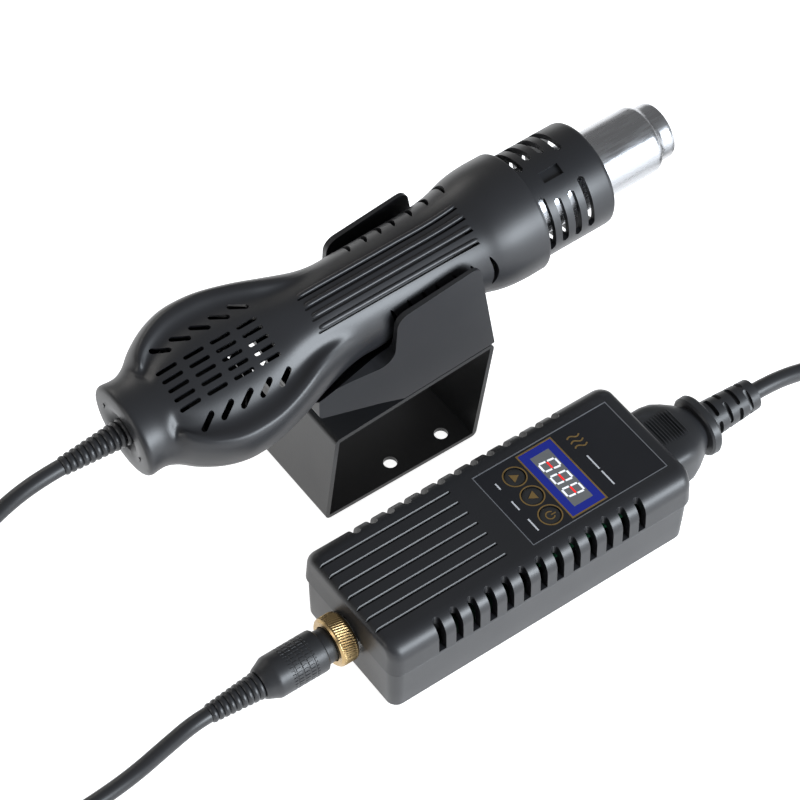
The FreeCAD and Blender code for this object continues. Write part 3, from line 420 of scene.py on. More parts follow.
def shell_half(upper, inset):
    """Rings of one half shell, from its rear rounding to its front rim."""
    sign = 1 if upper else -1
    stations = [0.0, 0.25, 0.7, 1.3] + [2 + 0.75 * n for n in range(183)]
    stations = [s for s in stations if s < SHELL_END - 0.6] + [SHELL_END - 0.5, SHELL_END - 0.15, SHELL_END]
    shrink = {0.0: 1.5, 0.25: 0.85, 0.7: 0.35, 1.3: 0.08, SHELL_END - 0.15: 0.15, SHELL_END: 0.5}
    columns = 120
    rings = []
    for station in stations:
        ring = []
        for column in range(columns + 1):
            share = -1 + 2 * column / columns
            y, z = shell_point(station, share)
            if not upper:
                y = HALF_WIDTH(station) * math.sin(share * math.pi / 2)
                z = HALF_HEIGHT(station) * math.cos(share * math.pi / 2)
            radius = math.hypot(y, z)
            factor = (radius - shrink.get(station, 0) - inset) / radius
            ring.append(at(station, y * factor, sign * max(z * factor, 0.06)))
        rings.append(ring)
    return rings


def shell_solid(upper):
    """Half shell with its wall, closed along the seam and at both ends."""
    outer = shell_half(upper, 0.0)
    inner = shell_half(upper, 1.9)
    verts = [p for ring in outer for p in ring] + [p for ring in inner for p in ring]
    count = len(outer[0])
    rows = len(outer)
    shift = rows * count
    faces = []
    for row in range(rows - 1):
        for column in range(count - 1):
            a = row * count + column
            faces.append((a, a + 1, a + 1 + count, a + count))
            faces.append((shift + a, shift + a + count, shift + a + 1 + count, shift + a + 1))
        for column in (0, count - 1):
            a = row * count + column
            faces.append((a, a + count, shift + a + count, shift + a))
    for row in (0, rows - 1):
        for column in range(count - 1):
            a = row * count + column
            faces.append((a, shift + a, shift + a + 1, a + 1))
    return verts, faces


def shell_vents():
    """Round-ended intake slots of the upper shell: the grid and the slanted rows."""
    cutters = []
    for group in range(4):
        for line in range(-2, 3):
            centre = at(17.25 + 9.0 * group, 3.12 * line, 13.0)
            cutters.append(slot_cutter(centre, AXIS, SIDE, TOP, 6.8, 1.35, 12.0))
    for number in range(5):
        for side in (-1, 1):
            turn = math.radians(33.0)
            along = AXIS * math.cos(turn) - SIDE * side * math.sin(turn)
            across = TOP.cross(along)
            centre = at(19.4 + 6.6 * number, 12.4 * side, 11.0)
            cutters.append(slot_cutter(centre, along, across, TOP, 6.3, 1.75, 12.0))
    return cutters


def arc_cutter(station, low, high, width, inner, outer, lean=0.0, taper=False):
    """Slot round the handpiece's axis between two angles from the top, in degrees."""
    steps = 20
    rings = []
    for step in range(steps + 1):
        u = step / steps
        angle = math.radians(low + (high - low) * u)
        edge = min(u, 1 - u) * math.radians(abs(high - low)) * (inner + outer) / 2
        if taper:
            half = width / 2 * math.sqrt(max(0.0, math.sin(math.pi * u))) + 0.02
        else:
            half = math.sqrt(max(0.0, (width / 2) ** 2 - max(0.0, width / 2 - edge) ** 2)) + 0.02
        middle = station + lean * math.sin(math.pi * u)
        ring = []
        for radius, offset in ((inner, -half), (outer, -half), (outer, half), (inner, half)):
            ring.append(at(middle + offset, radius * math.sin(angle), radius * math.cos(angle)))
        rings.append(ring)
    return rings_mesh(rings)


def crescents():
    cutters = []
    for station in (84.0, 90.0, 95.25, 100.1, 106.3, 112.4, 118.7):
        grow = smoothstep(111, 121, station) * 1.6
        for side in (-1, 1):
            cutters.append(arc_cutter(station, side * 43, side * 80, 1.5, 13.2 + grow, 19.5, 1.2, True))
    return cutters


def make_handle():
    for upper, node in ((True, "handle_upper_shell"), (False, "handle_lower_shell")):
        verts, faces = shell_solid(upper)
        shell = piece("handle_" + ("top" if upper else "base"), verts, faces, "handle_plastic", None)
        if upper:
            grooves = [arc_groove(angle) for angle in RIB_ANGLES]
            carve(shell, shell_vents() + crescents() + grooves)
        else:
            intakes = [slot_cutter(at(16.4 + 4.4 * n, 0, -13.0), SIDE, AXIS, TOP, 19, 2.4, 12.0)
                       for n in range(9)]
            carve(shell, intakes)
        shade(shell, 38.0)
        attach(shell, "handpiece")
        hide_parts(node)
    for number, angle in enumerate(RIB_ANGLES):
        verts, faces = thumb_rib(angle)
        piece("thumb_rib_%d" % number, verts, faces, "handle_plastic", "handpiece")
    rear_cap()


def radial(angle):
    """Unit directions out of and round the handpiece's axis, angle in degrees from its top."""
    turn = math.radians(angle)
    return TOP * math.cos(turn) + SIDE * math.sin(turn), SIDE * math.cos(turn) - TOP * math.sin(turn)


def arc_groove(angle):
    """Long shallow groove beside a thumb rib."""
    out, around = radial(angle)
    centre = at(89.4, 0, 0) + (out * 15.75 - around * 1.15) * MM
    return slot_cutter(centre, AXIS, around, out, 57.4, 0.8, 2.2)


def thumb_rib(angle):
    """Low rounded rib along the grip."""
    out, around = radial(angle)
    rings = []
    steps = 60
    for step in range(steps + 1):
        station = 60.9 + 57.0 * step / steps
        edge = min(1.0, min(step, steps - step) / 1.5)
        radius = HALF_HEIGHT(station) - 0.25
        high, half = 0.85 * math.sqrt(edge) + 0.02, 0.72 * math.sqrt(edge) + 0.03
        ring = []
        for column in range(9):
            turn = math.pi * column / 8
            across, rise = math.copysign(abs(math.cos(turn)) ** 0.7, math.cos(turn)), math.sin(turn) ** 0.7
            ring.append(at(station, 0, 0) + (out * (radius + high * rise) + around * half * across) * MM)
        rings.append(ring)
    return rings_mesh(rings)


def rear_cap():
    """Rear wall of the handle: flat rim, dished middle and two small snap slots."""
    rings = []
    for share, depth in ((0.97, 0.0), (0.93, -0.08), (0.80, -0.18), (0.66, -0.12), (0.58, 0.35), (0.48, 1.5),
                         (0.40, 2.3), (0.32, 2.6)):
        ring = []
        for step in range(96):
            angle = 2 * math.pi * step / 96
            width = 13.4 * share if share > 0.6 else 13.4 * share * 0.86
            height = 11.2 * share if share > 0.6 else 11.2 * share * (0.86 + 0.14 * (0.6 - share))
            ring.append(at(depth, width * math.cos(angle), height * math.sin(angle)))
        rings.append(ring)
    back = [[p + AXIS * 1.2 * MM for p in rings[0]]]
    verts, faces = rings_mesh(back + rings, close_start=False)
    piece("handle_rear_wall", verts, faces, "handle_plastic", "handpiece")
    for side in (-1, 1):
        verts, faces = slot_cutter(at(-0.15, 9.4 * side, 0.2), TOP, SIDE, AXIS, 2.6, 0.9, 0.5)
        piece("snap_slot_%d" % (side > 0), verts, faces, "guard_plastic", "handpiece")


def ribbed_profile(length, radius, end_radius, rings, groove):
    """Profile of a tapered strain relief with rounded rings."""
    profile = [(0.0, 0.2), (0.0, radius * 0.96)]
    steps = rings * 8
    for step in range(steps + 1):
        u = step / steps
        wave = abs(math.sin(math.pi * rings * u)) ** 0.5
        taper = radius + (end_radius - radius) * u
        profile.append((0.05 + u * (length - 0.1), taper - groove * (1 - wave)))
    profile.append((length, 0.2))
    return profile


def make_relief():
    profile = ribbed_profile(22.0, 4.4, 2.85, 11, 0.7)
    relief = lathe("handle_relief", profile, at(1.7, 0, 0), -AXIS, "cord_rubber", "handpiece", 56)
    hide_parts("handle_strain_relief")


def make_barrel():
    """Drawn steel tube with its stepped mouth and the folded seam along it."""
    outline = [(129.5, 11.0), (186.6, 11.0), (187.6, 10.9), (188.4, 10.5), (189.0, 9.75), (189.6, 9.35),
               (190.4, 9.2), (193.0, 9.15), (194.1, 9.1), (194.45, 8.9), (194.5, 8.6), (194.3, 8.45),
               (193.0, 8.5), (189.5, 8.6), (188.6, 9.6), (187.5, 10.3), (129.5, 10.4), (129.5, 11.0)]

    def seam(along, angle, radius):
        offset = min(abs(angle - 2.0), 2 * math.pi - abs(angle - 2.0)) * radius
        return -0.16 * math.exp(-(offset / 0.16) ** 2)

    rings = []
    segments = 240
    for along, radius in outline:
        ring = []
        for step in range(segments):
            angle = 2 * math.pi * step / segments
            r = radius + seam(along, angle, radius)
            ring.append(at(along, r * math.sin(angle), r * math.cos(angle)))
        rings.append(ring)
    verts, faces = rings_mesh(rings, close_start=False, close_end=False)
    barrel = piece("barrel_tube", verts, faces, "barrel_steel", "handpiece")
    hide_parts("steel_barrel")


def make_guard():
    """Slotted guard round the root of the barrel."""
    outline = [(131.0, 17.1), (163.6, 17.15), (164.5, 17.0), (164.95, 16.6), (165.0, 16.0), (164.6, 15.5),
               (163.8, 15.35), (131.0, 15.4), (131.0, 17.1)]
    rings = []
    for along, radius in outline:
        rings.append([at(along, radius * math.sin(angle), radius * math.cos(angle)) for angle in circle(200)])
    verts, faces = rings_mesh(rings, close_start=False, close_end=False)
    guard = piece("guard_tube", verts, faces, "guard_plastic", None)
    cutters = []
    for station, low, high in ((141.2, 16, 81), (146.0, 24, 78), (150.9, 24, 80), (155.7, 16, 78)):
        for start, end in ((low, high), (180 - high, 180 - low), (180 + low, 180 + high),
                           (360 - high, 360 - low)):
            cutters.append(arc_cutter(station, start, end, 2.3, 14.0, 18.5))
    panel = at(148.4, 0, GUARD_RADIUS)
    cutters.append(slot_cutter(panel, AXIS, SIDE, TOP, 10.8, 3.7, 2.6, 1))
    carve(guard, cutters)
    shade(guard, 38.0)
    bevel(guard, 0.18, 2, 50.0)
    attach(guard, "handpiece")
    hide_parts("barrel_guard")


# Control box ------------------------------------------------------------------------------------

CASE_LOW, CASE_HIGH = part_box("case_top")
TUB_LOW, TUB_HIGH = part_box("case_bottom")
CASE_TOP = CASE_HIGH[2]
HALF_LENGTH, HALF_SIDE = CASE_HIGH[0], CASE_HIGH[1]
PARTING = CASE_LOW[2]


def rounded_ring(half_x, half_y, radius, z, corner=10):
    """Closed outline of a rounded rectangle at height z, all in metres."""
    ring = []
    for quarter, (sx, sy) in enumerate(((1, 1), (-1, 1), (-1, -1), (1, -1))):
        for step in range(corner + 1):
            angle = math.pi / 2 * (quarter + step / corner)
            ring.append(Vector((sx * (half_x - radius) + radius * math.cos(angle),
                                sy * (half_y - radius) + radius * math.sin(angle), z)))
    return ring


def case_lid():
    """Top half of the case with its soft shoulders, vents, grooves and recesses."""
    shoulder_x, shoulder_y = 2.2, 6.0
    height = (CASE_TOP - PARTING) / MM
    levels = [(0.0, 1.3, 1.3), (0.55, 1.3, 1.3), (0.6, 0.2, 0.2), (0.85, 0.0, 0.0),
              (height - shoulder_y, 0.35, 0.35)]
    for step in range(1, 13):
        turn = math.pi / 2 * step / 12
        drop = shoulder_y * (1 - math.sin(turn))
        inset_y = shoulder_y * (1 - math.cos(turn))
        rise = max(0.0, 1 - drop / shoulder_x)
        inset_x = shoulder_x * (1 - math.sqrt(max(0.0, 1 - rise * rise)))
        levels.append((height - drop, 0.35 + inset_x, 0.35 + inset_y))
    rings = []
    for z, inset_x, inset_y in levels:
        rings.append(rounded_ring(HALF_LENGTH - inset_x * MM, HALF_SIDE - inset_y * MM,
                                  max(1.2, 4.2 - min(inset_x, inset_y)) * MM, PARTING + z * MM))
    inside = [rounded_ring(HALF_LENGTH - inset_x * MM, HALF_SIDE - inset_y * MM, 2.0 * MM, PARTING + z * MM)
              for z, inset_x, inset_y in ((height - 2.2, 7.0, 8.0), (height - 2.8, 3.6, 5.4),
                                          (height - 6.0, 2.4, 2.8), (0.0, 2.4, 2.4))]
    verts, faces = rings_mesh(inside + rings)
    lid = piece("case_lid", verts, faces, "case_plastic", None)
    carve(lid, lid_cutters())
    carve(lid, window_cutters())
    shade(lid, 36.0)
    bevel(lid, 0.32, 3, 55.0)
    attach(lid, "root")
    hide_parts("case_top")


VENT_PITCH = 6.13
FIRST_VENT = -38.2
GROOVE_LENGTH = 48.0
GROOVE_PITCH = 4.57
GROOVE_MIDDLE = 0.97
KEYS = (("button_up", 1), ("button_down", 0), ("button_set", -1))


def lid_cutters():
    cutters = []
    for side in (-1, 1):
        for number in range(13):
            x = (FIRST_VENT + VENT_PITCH * number) * MM
            outline = []
            inner = HALF_SIDE - 4.9 * MM
            half = 1.3 * MM
            for step in range(9):
                turn = math.pi * (step / 8 - 0.5)
                outline.append((x + half * math.sin(turn), inner + half - half * math.cos(turn)))
            outline += [(x + half, HALF_SIDE + 2 * MM), (x - half, HALF_SIDE + 2 * MM)]
            levels = (PARTING + 1.5 * MM, CASE_TOP + 2 * MM)
            cutters.append(rings_mesh([[Vector((px, side * py, z)) for px, py in outline] for z in levels]))
    for number in range(-3, 4):
        start = -HALF_LENGTH / MM - 2
        centre = Vector(((start + (GROOVE_LENGTH + 2) / 2) * MM,
                         (GROOVE_MIDDLE + number * GROOVE_PITCH) * MM, CASE_TOP))
        lean = math.radians(38)
        across = Vector((0, math.cos(lean), -math.sin(lean)))
        cutters.append(slot_cutter(centre, Vector((1, 0, 0)), across, Vector((1, 0, 0)).cross(across),
                                   GROOVE_LENGTH + 2, 0.8, 1.3))
    low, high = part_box("front_label")
    margin = 0.2 * MM
    cutters.append(box_mesh((low[0] - margin, low[1] - margin, low[2] - 0.02 * MM),
                            (high[0] + margin, high[1] + margin, CASE_TOP + 2 * MM)))
    cutters.append(socket_cutter())
    cutters.append(inlet_cutter())
    return cutters


def window_cutters():
    """Openings of the display and the keys, from inside the lid up to the label's recess."""
    low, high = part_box("display_window")
    margin = 0.1 * MM
    cutters = [box_mesh((low[0] - margin, low[1] - margin, low[2] - 3 * MM),
                        (high[0] + margin, high[1] + margin, CASE_TOP + 1 * MM))]
    for name, place in KEYS:
        low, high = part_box(name)
        centre = Vector(((low[0] + high[0]) / 2, (low[1] + high[1]) / 2, CASE_TOP - 1.5 * MM))
        cutters.append(slot_cutter(centre, Vector((1, 0, 0)), Vector((0, 1, 0)), Vector((0, 0, 1)),
                                   7.11, 7.1, 5.0, 24))
    return cutters


def socket_cutter():
    low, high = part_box("output_socket")
    centre_z = (low[2] + high[2]) / 2
    rings = []
    for x in (-HALF_LENGTH - 3 * MM, -HALF_LENGTH + 4 * MM):
        rings.append([Vector((x, 6.5 * MM * math.cos(a), centre_z + 6.5 * MM * math.sin(a)))
                      for a in [2 * math.pi * s / 48 for s in range(48)]])
    return rings_mesh(rings)


def inlet_cutter():
    low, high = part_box("mains_inlet")
    return box_mesh((HALF_LENGTH - 5 * MM, low[1] - 0.2 * MM, low[2] - 0.2 * MM),
                    (HALF_LENGTH + 3 * MM, high[1] + 0.2 * MM, high[2] + 0.2 * MM))


def case_tub():
    """Bottom half of the case, drafted, with a rounded foot edge."""
    levels = []
    for step in range(7):
        turn = math.pi / 2 * step / 6
        levels.append((1.2 * (1 - math.cos(turn)), 0.5 + 1.2 * (1 - math.sin(turn))))
    seam = PARTING / MM
    levels += [(8.0, 0.25), (seam - 0.45, 0.0), (seam - 0.24, 0.15), (seam - 0.2, 1.3), (seam - 0.05, 1.3)]
    rings = [rounded_ring(TUB_HIGH[0] - inset * MM, TUB_HIGH[1] - inset * MM,
                          (4.0 - min(inset, 2.5)) * MM, z * MM) for z, inset in levels]
    inside = [rounded_ring(TUB_HIGH[0] - 2.2 * MM, TUB_HIGH[1] - 2.2 * MM, 2.0 * MM, z * MM)
              for z in (seam - 0.05, 2.0)]
    verts, faces = rings_mesh(rings + inside)
    tub = piece("case_tub", verts, faces, "case_plastic", None)
    screws = [slot_cutter(Vector((sx * 47.5 * MM, sy * 17.6 * MM, 0)), Vector((1, 0, 0)), Vector((0, 1, 0)),
                          Vector((0, 0, 1)), 5.81, 5.8, 3.4, 16) for sx in (-1, 1) for sy in (-1, 1)]
    carve(tub, [socket_cutter(), inlet_cutter()] + screws)
    shade(tub, 36.0)
    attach(tub, "root")
    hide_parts("case_bottom")


def frame_mesh(low_x, high_x, low_y, high_y, line, z, thick=0.04, radius=0.0):
    """Thin raised outline of a rectangle, in millimetres, at height z."""
    cx, cy = (low_x + high_x) / 2, (low_y + high_y) / 2
    hx, hy = (high_x - low_x) / 2, (high_y - low_y) / 2
    rings = []
    for grow, level in ((0, 0), (0, thick), (-line, thick), (-line, 0)):
        ring = rounded_ring((hx + grow) * MM, (hy + grow) * MM, max(radius + grow, 0.02) * MM,
                            z + level * MM, 6)
        rings.append([p + Vector((cx * MM, cy * MM, 0)) for p in ring])
    return rings_mesh(rings + rings[:1], close_start=False, close_end=False)


def stroke(points, width, z, thick=0.04):
    """Flat raised strip through points in millimetres at height z."""
    path = [Vector((x, y)) for x, y in points]
    left, right = [], []
    for index, spot in enumerate(path):
        before, after = path[max(index - 1, 0)], path[min(index + 1, len(path) - 1)]
        run = (after - before).normalized()
        normal = Vector((-run.y, run.x)) * width / 2
        left.append(spot + normal)
        right.append(spot - normal)
    outline = left + right[::-1]
    rings = [[Vector((p.x * MM, p.y * MM, z + level * MM)) for p in outline] for level in (0, thick)]
    verts = rings[0] + rings[1]
    count = len(outline)
    pairs = len(path)
    faces = []
    for index in range(pairs - 1):
        a, b, c, d = index, index + 1, count - 2 - index, count - 1 - index
        faces.append((a, b, c, d))
        faces.append((count + d, count + c, count + b, count + a))
    for index in range(count):
        after = (index + 1) % count
        faces.append((index, after, count + after, count + index))
    return verts, faces


def arc_points(cx, cy, radius, start, end, steps=24):
    angles = [math.radians(start + (end - start) * s / steps) for s in range(steps + 1)]
    return [(cx + radius * math.cos(angle), cy + radius * math.sin(angle)) for angle in angles]


def printed(name, meshes, material):
    item = merge_meshes(name, meshes)
    item.data.materials.append(MATERIALS[material])
    shade(item, 30.0)
    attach(item, "root")
    return item


def make_label():
    """Printed film with its frames, the display and generic marks."""
    low, high = [Vector(corner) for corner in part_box("front_label")]
    film = high[2]
    window_low, window_high = [Vector(corner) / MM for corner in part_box("display_window")]
    x0, x1 = window_low[0] - 0.9, window_high[0] + 0.9
    y0, y1 = window_low[1] - 0.9, window_high[1] + 0.9
    printed("label_gold_frame", [frame_mesh(x0, x1, y0, y1, 0.55, film)], "gold_print")
    bezel = frame_mesh(x0 + 0.55, x1 - 0.55, y0 + 0.55, y1 - 0.55, 2.6, film, 0.03)
    printed("display_bezel", [bezel], "blue_print")
    inner = box_mesh(((x0 + 3.0) * MM, (y0 + 3.0) * MM, film - 0.6 * MM),
                     ((x1 - 3.0) * MM, (y1 - 3.0) * MM, film + 0.02 * MM))
    printed("display_face", [inner], "display_glass")
    white, red = [], []
    middle_x = (x0 + x1) / 2
    middle_y = (y0 + y1) / 2
    tall, wide, step = 5.6, 3.3, 5.6
    for digit in (-1, 0, 1):
        cy = middle_y + digit * step
        for name, (ax, ay), (bx, by) in seven_segments(tall, wide):
            start = (middle_x + ax, cy - ay)
            end = (middle_x + bx, cy - by)
            target = red if name == "g" else white
            target.append(stroke([start, end], 0.62, film + 0.03 * MM))
    printed("digits_white", white, "segments_white")
    printed("digits_red", red, "segments_red")
    edge = frame_mesh(low[0] / MM - 0.15, high[0] / MM + 0.15, low[1] / MM - 0.15, high[1] / MM + 0.15,
                      0.3, film - 0.1 * MM, 0.2)
    printed("label_edge", [edge], "white_print_dim")
    gold = []
    bars = []
    for name, place in KEYS:
        key_low, key_high = [Vector(corner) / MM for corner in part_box(name)]
        cx, cy = (key_low[0] + key_high[0]) / 2, (key_low[1] + key_high[1]) / 2
        gold.append(stroke(arc_points(cx, cy, 3.62, 0, 360, 48), 0.42, film))
        half = (1.3, 1.9, 2.5)[1 - place]
        bars.append(stroke([(cx - 6.3, cy - half), (cx - 6.3, cy + half)], 0.5, film))
    heat_x = x1 + 5.6
    for line in (-1, 0, 1):
        wave = [(heat_x - 2.2 + 4.4 * s / 16, 8.0 + line * 2.0 + 0.55 * math.sin(2 * math.pi * s / 16))
                for s in range(17)]
        gold.append(stroke(wave, 0.5, film))
    printed("label_gold_marks", gold, "gold_print")
    for start, end in ((-11.0, -5.0), (-4.0, 2.0)):
        bars.append(stroke([(x1 + 4.6, start), (x1 + 4.6, end)], 0.5, film))
    printed("label_white_bars", bars, "white_print")


def seven_segments(tall, wide):
    """Names and end points of a digit's strokes; x runs down the digit, y across it."""
    h, w, gap = tall / 2, wide / 2, 0.3
    corners = {"tl": (h, -w), "tr": (h, w), "ml": (0, -w), "mr": (0, w), "bl": (-h, -w), "br": (-h, w)}
    strokes = []
    for name, start, end in (("a", "tl", "tr"), ("g", "ml", "mr"), ("d", "bl", "br"), ("f", "tl", "ml"),
                             ("b", "tr", "mr"), ("e", "ml", "bl"), ("c", "mr", "br")):
        a, b = Vector(corners[start]), Vector(corners[end])
        run = (b - a).normalized() * gap
        lean = 0.12
        a, b = a + run, b - run
        strokes.append((name, (a.x, a.y + lean * a.x), (b.x, b.y + lean * b.x)))
    return strokes


def make_keys():
    bodies = {"button_up": "up_key", "button_down": "down_key", "button_set": "set_key"}
    for name, place in KEYS:
        low, high = [Vector(corner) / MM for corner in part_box(name)]
        cx, cy = (low[0] + high[0]) / 2, (low[1] + high[1]) / 2
        top = high[2]
        profile = [(0.0, 0.05), (0.0, 3.9), (0.5, 4.0), (0.6, 3.3), (2.6, 3.3), (2.85, 3.2), (2.97, 2.9),
                   (2.93, 2.0), (2.9, 0.05)]
        cap = lathe(name + "_cap", profile, (cx * MM, cy * MM, low[2] * MM), (0, 0, 1), "button_rubber",
                    bodies[name], 64)
        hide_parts(name)
        face = (top - 0.03) * MM
        if name == "button_set":
            marks = [stroke(arc_points(cx, cy, 1.35, 35, 325, 28), 0.42, face),
                     stroke([(cx + 0.3, cy), (cx + 2.0, cy)], 0.42, face)]
        else:
            tip = 1.5 if name == "button_up" else -1.5
            corners = [(cx + tip, cy), (cx - tip * 0.75, cy + 1.65), (cx - tip * 0.75, cy - 1.65)]
            ring = [[Vector((x * MM, y * MM, face + z * MM)) for x, y in corners] for z in (0, 0.05)]
            marks = [rings_mesh(ring)]
        icon = merge_meshes(name + "_icon", marks)
        icon.data.materials.append(MATERIALS["gold_print"])
        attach(icon, bodies[name])


# Cable plug and mains connector --------------------------------------------------------------

def make_plug():
    low, high = [Vector(corner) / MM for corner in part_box("plug_housing")]
    axis_z = (low[2] + high[2]) / 2
    front = high[0]
    origin = (front * MM, 0, axis_z * MM)

    def grip(along, angle, radius):
        if not (6.0 < along < 14.6 and radius > 6.5):
            return 0.0
        cut = max(math.sin(along * 2.95), math.sin(angle * 36))
        return -0.2 * smoothstep(0.55, 0.85, cut)

    profile = [(0.0, 0.1), (0.0, 5.4), (2.0, 5.5), (2.1, 6.2), (2.5, 6.6), (3.2, 6.7)]
    profile += [(4.0 + 0.15 * n, 6.7) for n in range(92)]
    profile += [(18.2, 6.7), (18.9, 6.6), (19.5, 6.3), (21.0, 5.6), (22.5, 4.95), (22.9, 4.6), (22.9, 0.1)]
    housing = lathe("plug_body", profile, origin, (-1, 0, 0), "connector_rubber", "cable_plug", 432, grip)
    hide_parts("plug_housing")
    low, high = [Vector(corner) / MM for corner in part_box("plug_strain_relief")]
    relief = lathe("plug_relief", ribbed_profile(high[0] - low[0], 4.4, 3.0, 9, 0.65),
                   (high[0] * MM, 0, axis_z * MM), (-1, 0, 0), "cord_rubber", "cable_plug", 56)
    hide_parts("plug_strain_relief")
    low, high = [Vector(corner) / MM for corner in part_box("coupling_nut")]

    def knurl(along, angle, radius):
        if radius > 7.4 and 0.9 < along < 5.3:
            return 0.13 * math.sin(angle * 60 + along * 1.6)
        return 0.0

    profile = [(0.0, 6.5), (0.0, 7.3), (0.5, 7.75)] + [(0.9 + 0.2 * n, 7.8) for n in range(23)]
    profile += [(5.6, 7.75), (6.1, 7.2), (6.1, 5.7), (5.0, 5.65), (5.0, 6.45), (0.0, 6.5)]
    rings = []
    for along, radius in profile:
        ring = []
        for angle in circle(480):
            r = radius + knurl(along, angle, radius)
            ring.append(Vector((high[0] - along, r * math.cos(angle), axis_z + r * math.sin(angle))) * MM)
        rings.append(ring)
    verts, faces = rings_mesh(rings, close_start=False, close_end=False)
    nut = piece("coupling_ring", verts, faces, "brass", "nut")
    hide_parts("coupling_nut")


def connector_section(x, half_y, half_z, power=2.6, count=72):
    ring = []
    for step in range(count):
        angle = 2 * math.pi * step / count
        c, s = math.cos(angle), math.sin(angle)
        ring.append(Vector((x * MM, half_y * MM * math.copysign(abs(c) ** (2 / power), c),
                            CONNECTOR_Z + half_z * MM * math.copysign(abs(s) ** (2 / power), s))))
    return ring


CONNECTOR_Z = sum(corner[2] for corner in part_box("connector_nose")) / 2


def make_connector():
    low, high = [Vector(corner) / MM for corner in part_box("connector_grip")]
    start, end = low[0], high[0]
    sections = [(start, 12.0, 8.4, 5.0), (start + 0.4, 12.6, 9.0, 5.0), (start + 6.5, 12.7, 9.1, 4.6),
                (start + 10.0, 12.4, 8.8, 4.0), (start + 13.0, 11.2, 8.2, 3.4), (start + 16.0, 9.4, 7.4, 2.9),
                (start + 18.4, 7.4, 6.6, 2.5), (start + 18.8, 7.2, 6.4, 2.5), (start + 19.0, 9.4, 7.9, 2.4),
                (start + 19.6, 10.1, 8.5, 2.3), (end - 0.9, 10.2, 8.6, 2.3), (end - 0.3, 9.8, 8.2, 2.3),
                (end, 9.0, 7.4, 2.3)]
    rings = [connector_section(*section) for section in sections]
    verts, faces = rings_mesh(rings)
    body = piece("connector_body", verts, faces, "connector_rubber", "mains_lead")
    ribs = []
    for number in range(9):
        x = start + 3.2 + 1.05 * number
        span = 5.6 - 0.10 * abs(number - 4)
        ribs.append(rib_mesh(x, span, 9.1 * MM + CONNECTOR_Z))
        ribs.append(rib_mesh(x, span, CONNECTOR_Z - 9.1 * MM))
    grips = merge_meshes("connector_ribs", ribs)
    grips.data.materials.append(MATERIALS["connector_rubber"])
    shade(grips)
    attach(grips, "mains_lead")
    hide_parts("connector_grip")
    low, high = [Vector(corner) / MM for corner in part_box("connector_relief")]
    length = high[0] - low[0]
    profile = [(0.0, 0.1)] + [(length * n / 40, 6.1 - 1.0 * n / 40) for n in range(41)] + [(length, 0.1)]
    relief = lathe("connector_tail", profile, (low[0] * MM, 0, CONNECTOR_Z), (1, 0, 0), "connector_rubber",
                   None, 64)
    cutters = []
    for row in range(4):
        for quarter in range(4):
            turn = math.radians(90 * quarter + (45 if row % 2 else 0))
            out = Vector((0, math.cos(turn), math.sin(turn)))
            around = Vector((0, -math.sin(turn), math.cos(turn)))
            centre = Vector(((low[0] + 2.9 + 4.2 * row) * MM, 0, CONNECTOR_Z)) + out * 6.0 * MM
            cutters.append(slot_cutter(centre, around, Vector((1, 0, 0)), out, 7.0, 1.5, 4.2))
    carve(relief, cutters)
    shade(relief)
    bevel(relief, 0.15, 2, 50.0)
    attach(relief, "mains_lead")
    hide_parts("connector_relief")


def rib_mesh(x, span, z):
    rings = []
    for step in range(13):
        u = -1 + 2 * step / 12
        high = 0.32 * math.sqrt(max(0.0, 1 - u ** 6)) + 0.02
        ring = [Vector(((x + 0.3 * math.cos(a)) * MM, u * span * MM, z + high * math.sin(a) * MM))
                for a in [2 * math.pi * s / 10 for s in range(10)]]
        rings.append(ring)
    return rings_mesh(rings)


# Cords ------------------------------------------------------------------------------------------

CABLE_D, CORD_D = 0.0050, 0.0056
GUN_EXIT = at(-20.3, 0, 0)
CABLE_COIL = dict(x=-0.204, y=0.0368, radius=0.028)
CORD_COIL = dict(x=0.192, y=0.018, radius=0.032)
COIL_LIFT = 0.0008
CABLE_PLACES = ((1, 1), (1, 2), (-1, 2), (-1, 1), (-1, 0), (1, 0))
CORD_PLACES = ((1, 0), (-1, 0), (-1, 1), (-1, 2), (1, 2), (1, 1))

CABLE_TO_GUN = [tuple(GUN_EXIT), tuple(at(-28.3, 0, 0)), (-0.128, 0.064, 0.0612), (-0.141, 0.064, 0.053),
                (-0.1525, 0.064, 0.041), (-0.1615, 0.0639, 0.028), (-0.171, 0.0638, 0.0165),
                (-0.185, 0.0636, 0.0085)]
CABLE_TO_PLUG = [(-0.1037, 0, 0.01425), (-0.1085, 0, 0.01425), (-0.117, 0, 0.0111), (-0.131, 0, 0.0053),
                 (-0.148, 0, 0.0031), (-0.168, -0.0002, 0.0033), (-0.186, -0.0006, 0.0031),
                 (-0.204, -0.0001, 0.0032)]
CORD_TO_BOX = [(0.098, 0, 0.01425), (0.105, 0, 0.01425), (0.117, -0.0002, 0.0116), (0.130, -0.0012, 0.0066),
               (0.143, -0.0042, 0.0039), (0.156, -0.0094, 0.0033), (0.169, -0.0146, 0.0034)]
CORD_TO_PLUG = [(0.204, -0.0208, 0.0105), (0.219, -0.0162, 0.0116), (0.235, -0.0082, 0.0132),
                (0.244, 0.0064, 0.0166), (0.2456, 0.0235, 0.0185), (0.2456, 0.0315, 0.0185)]


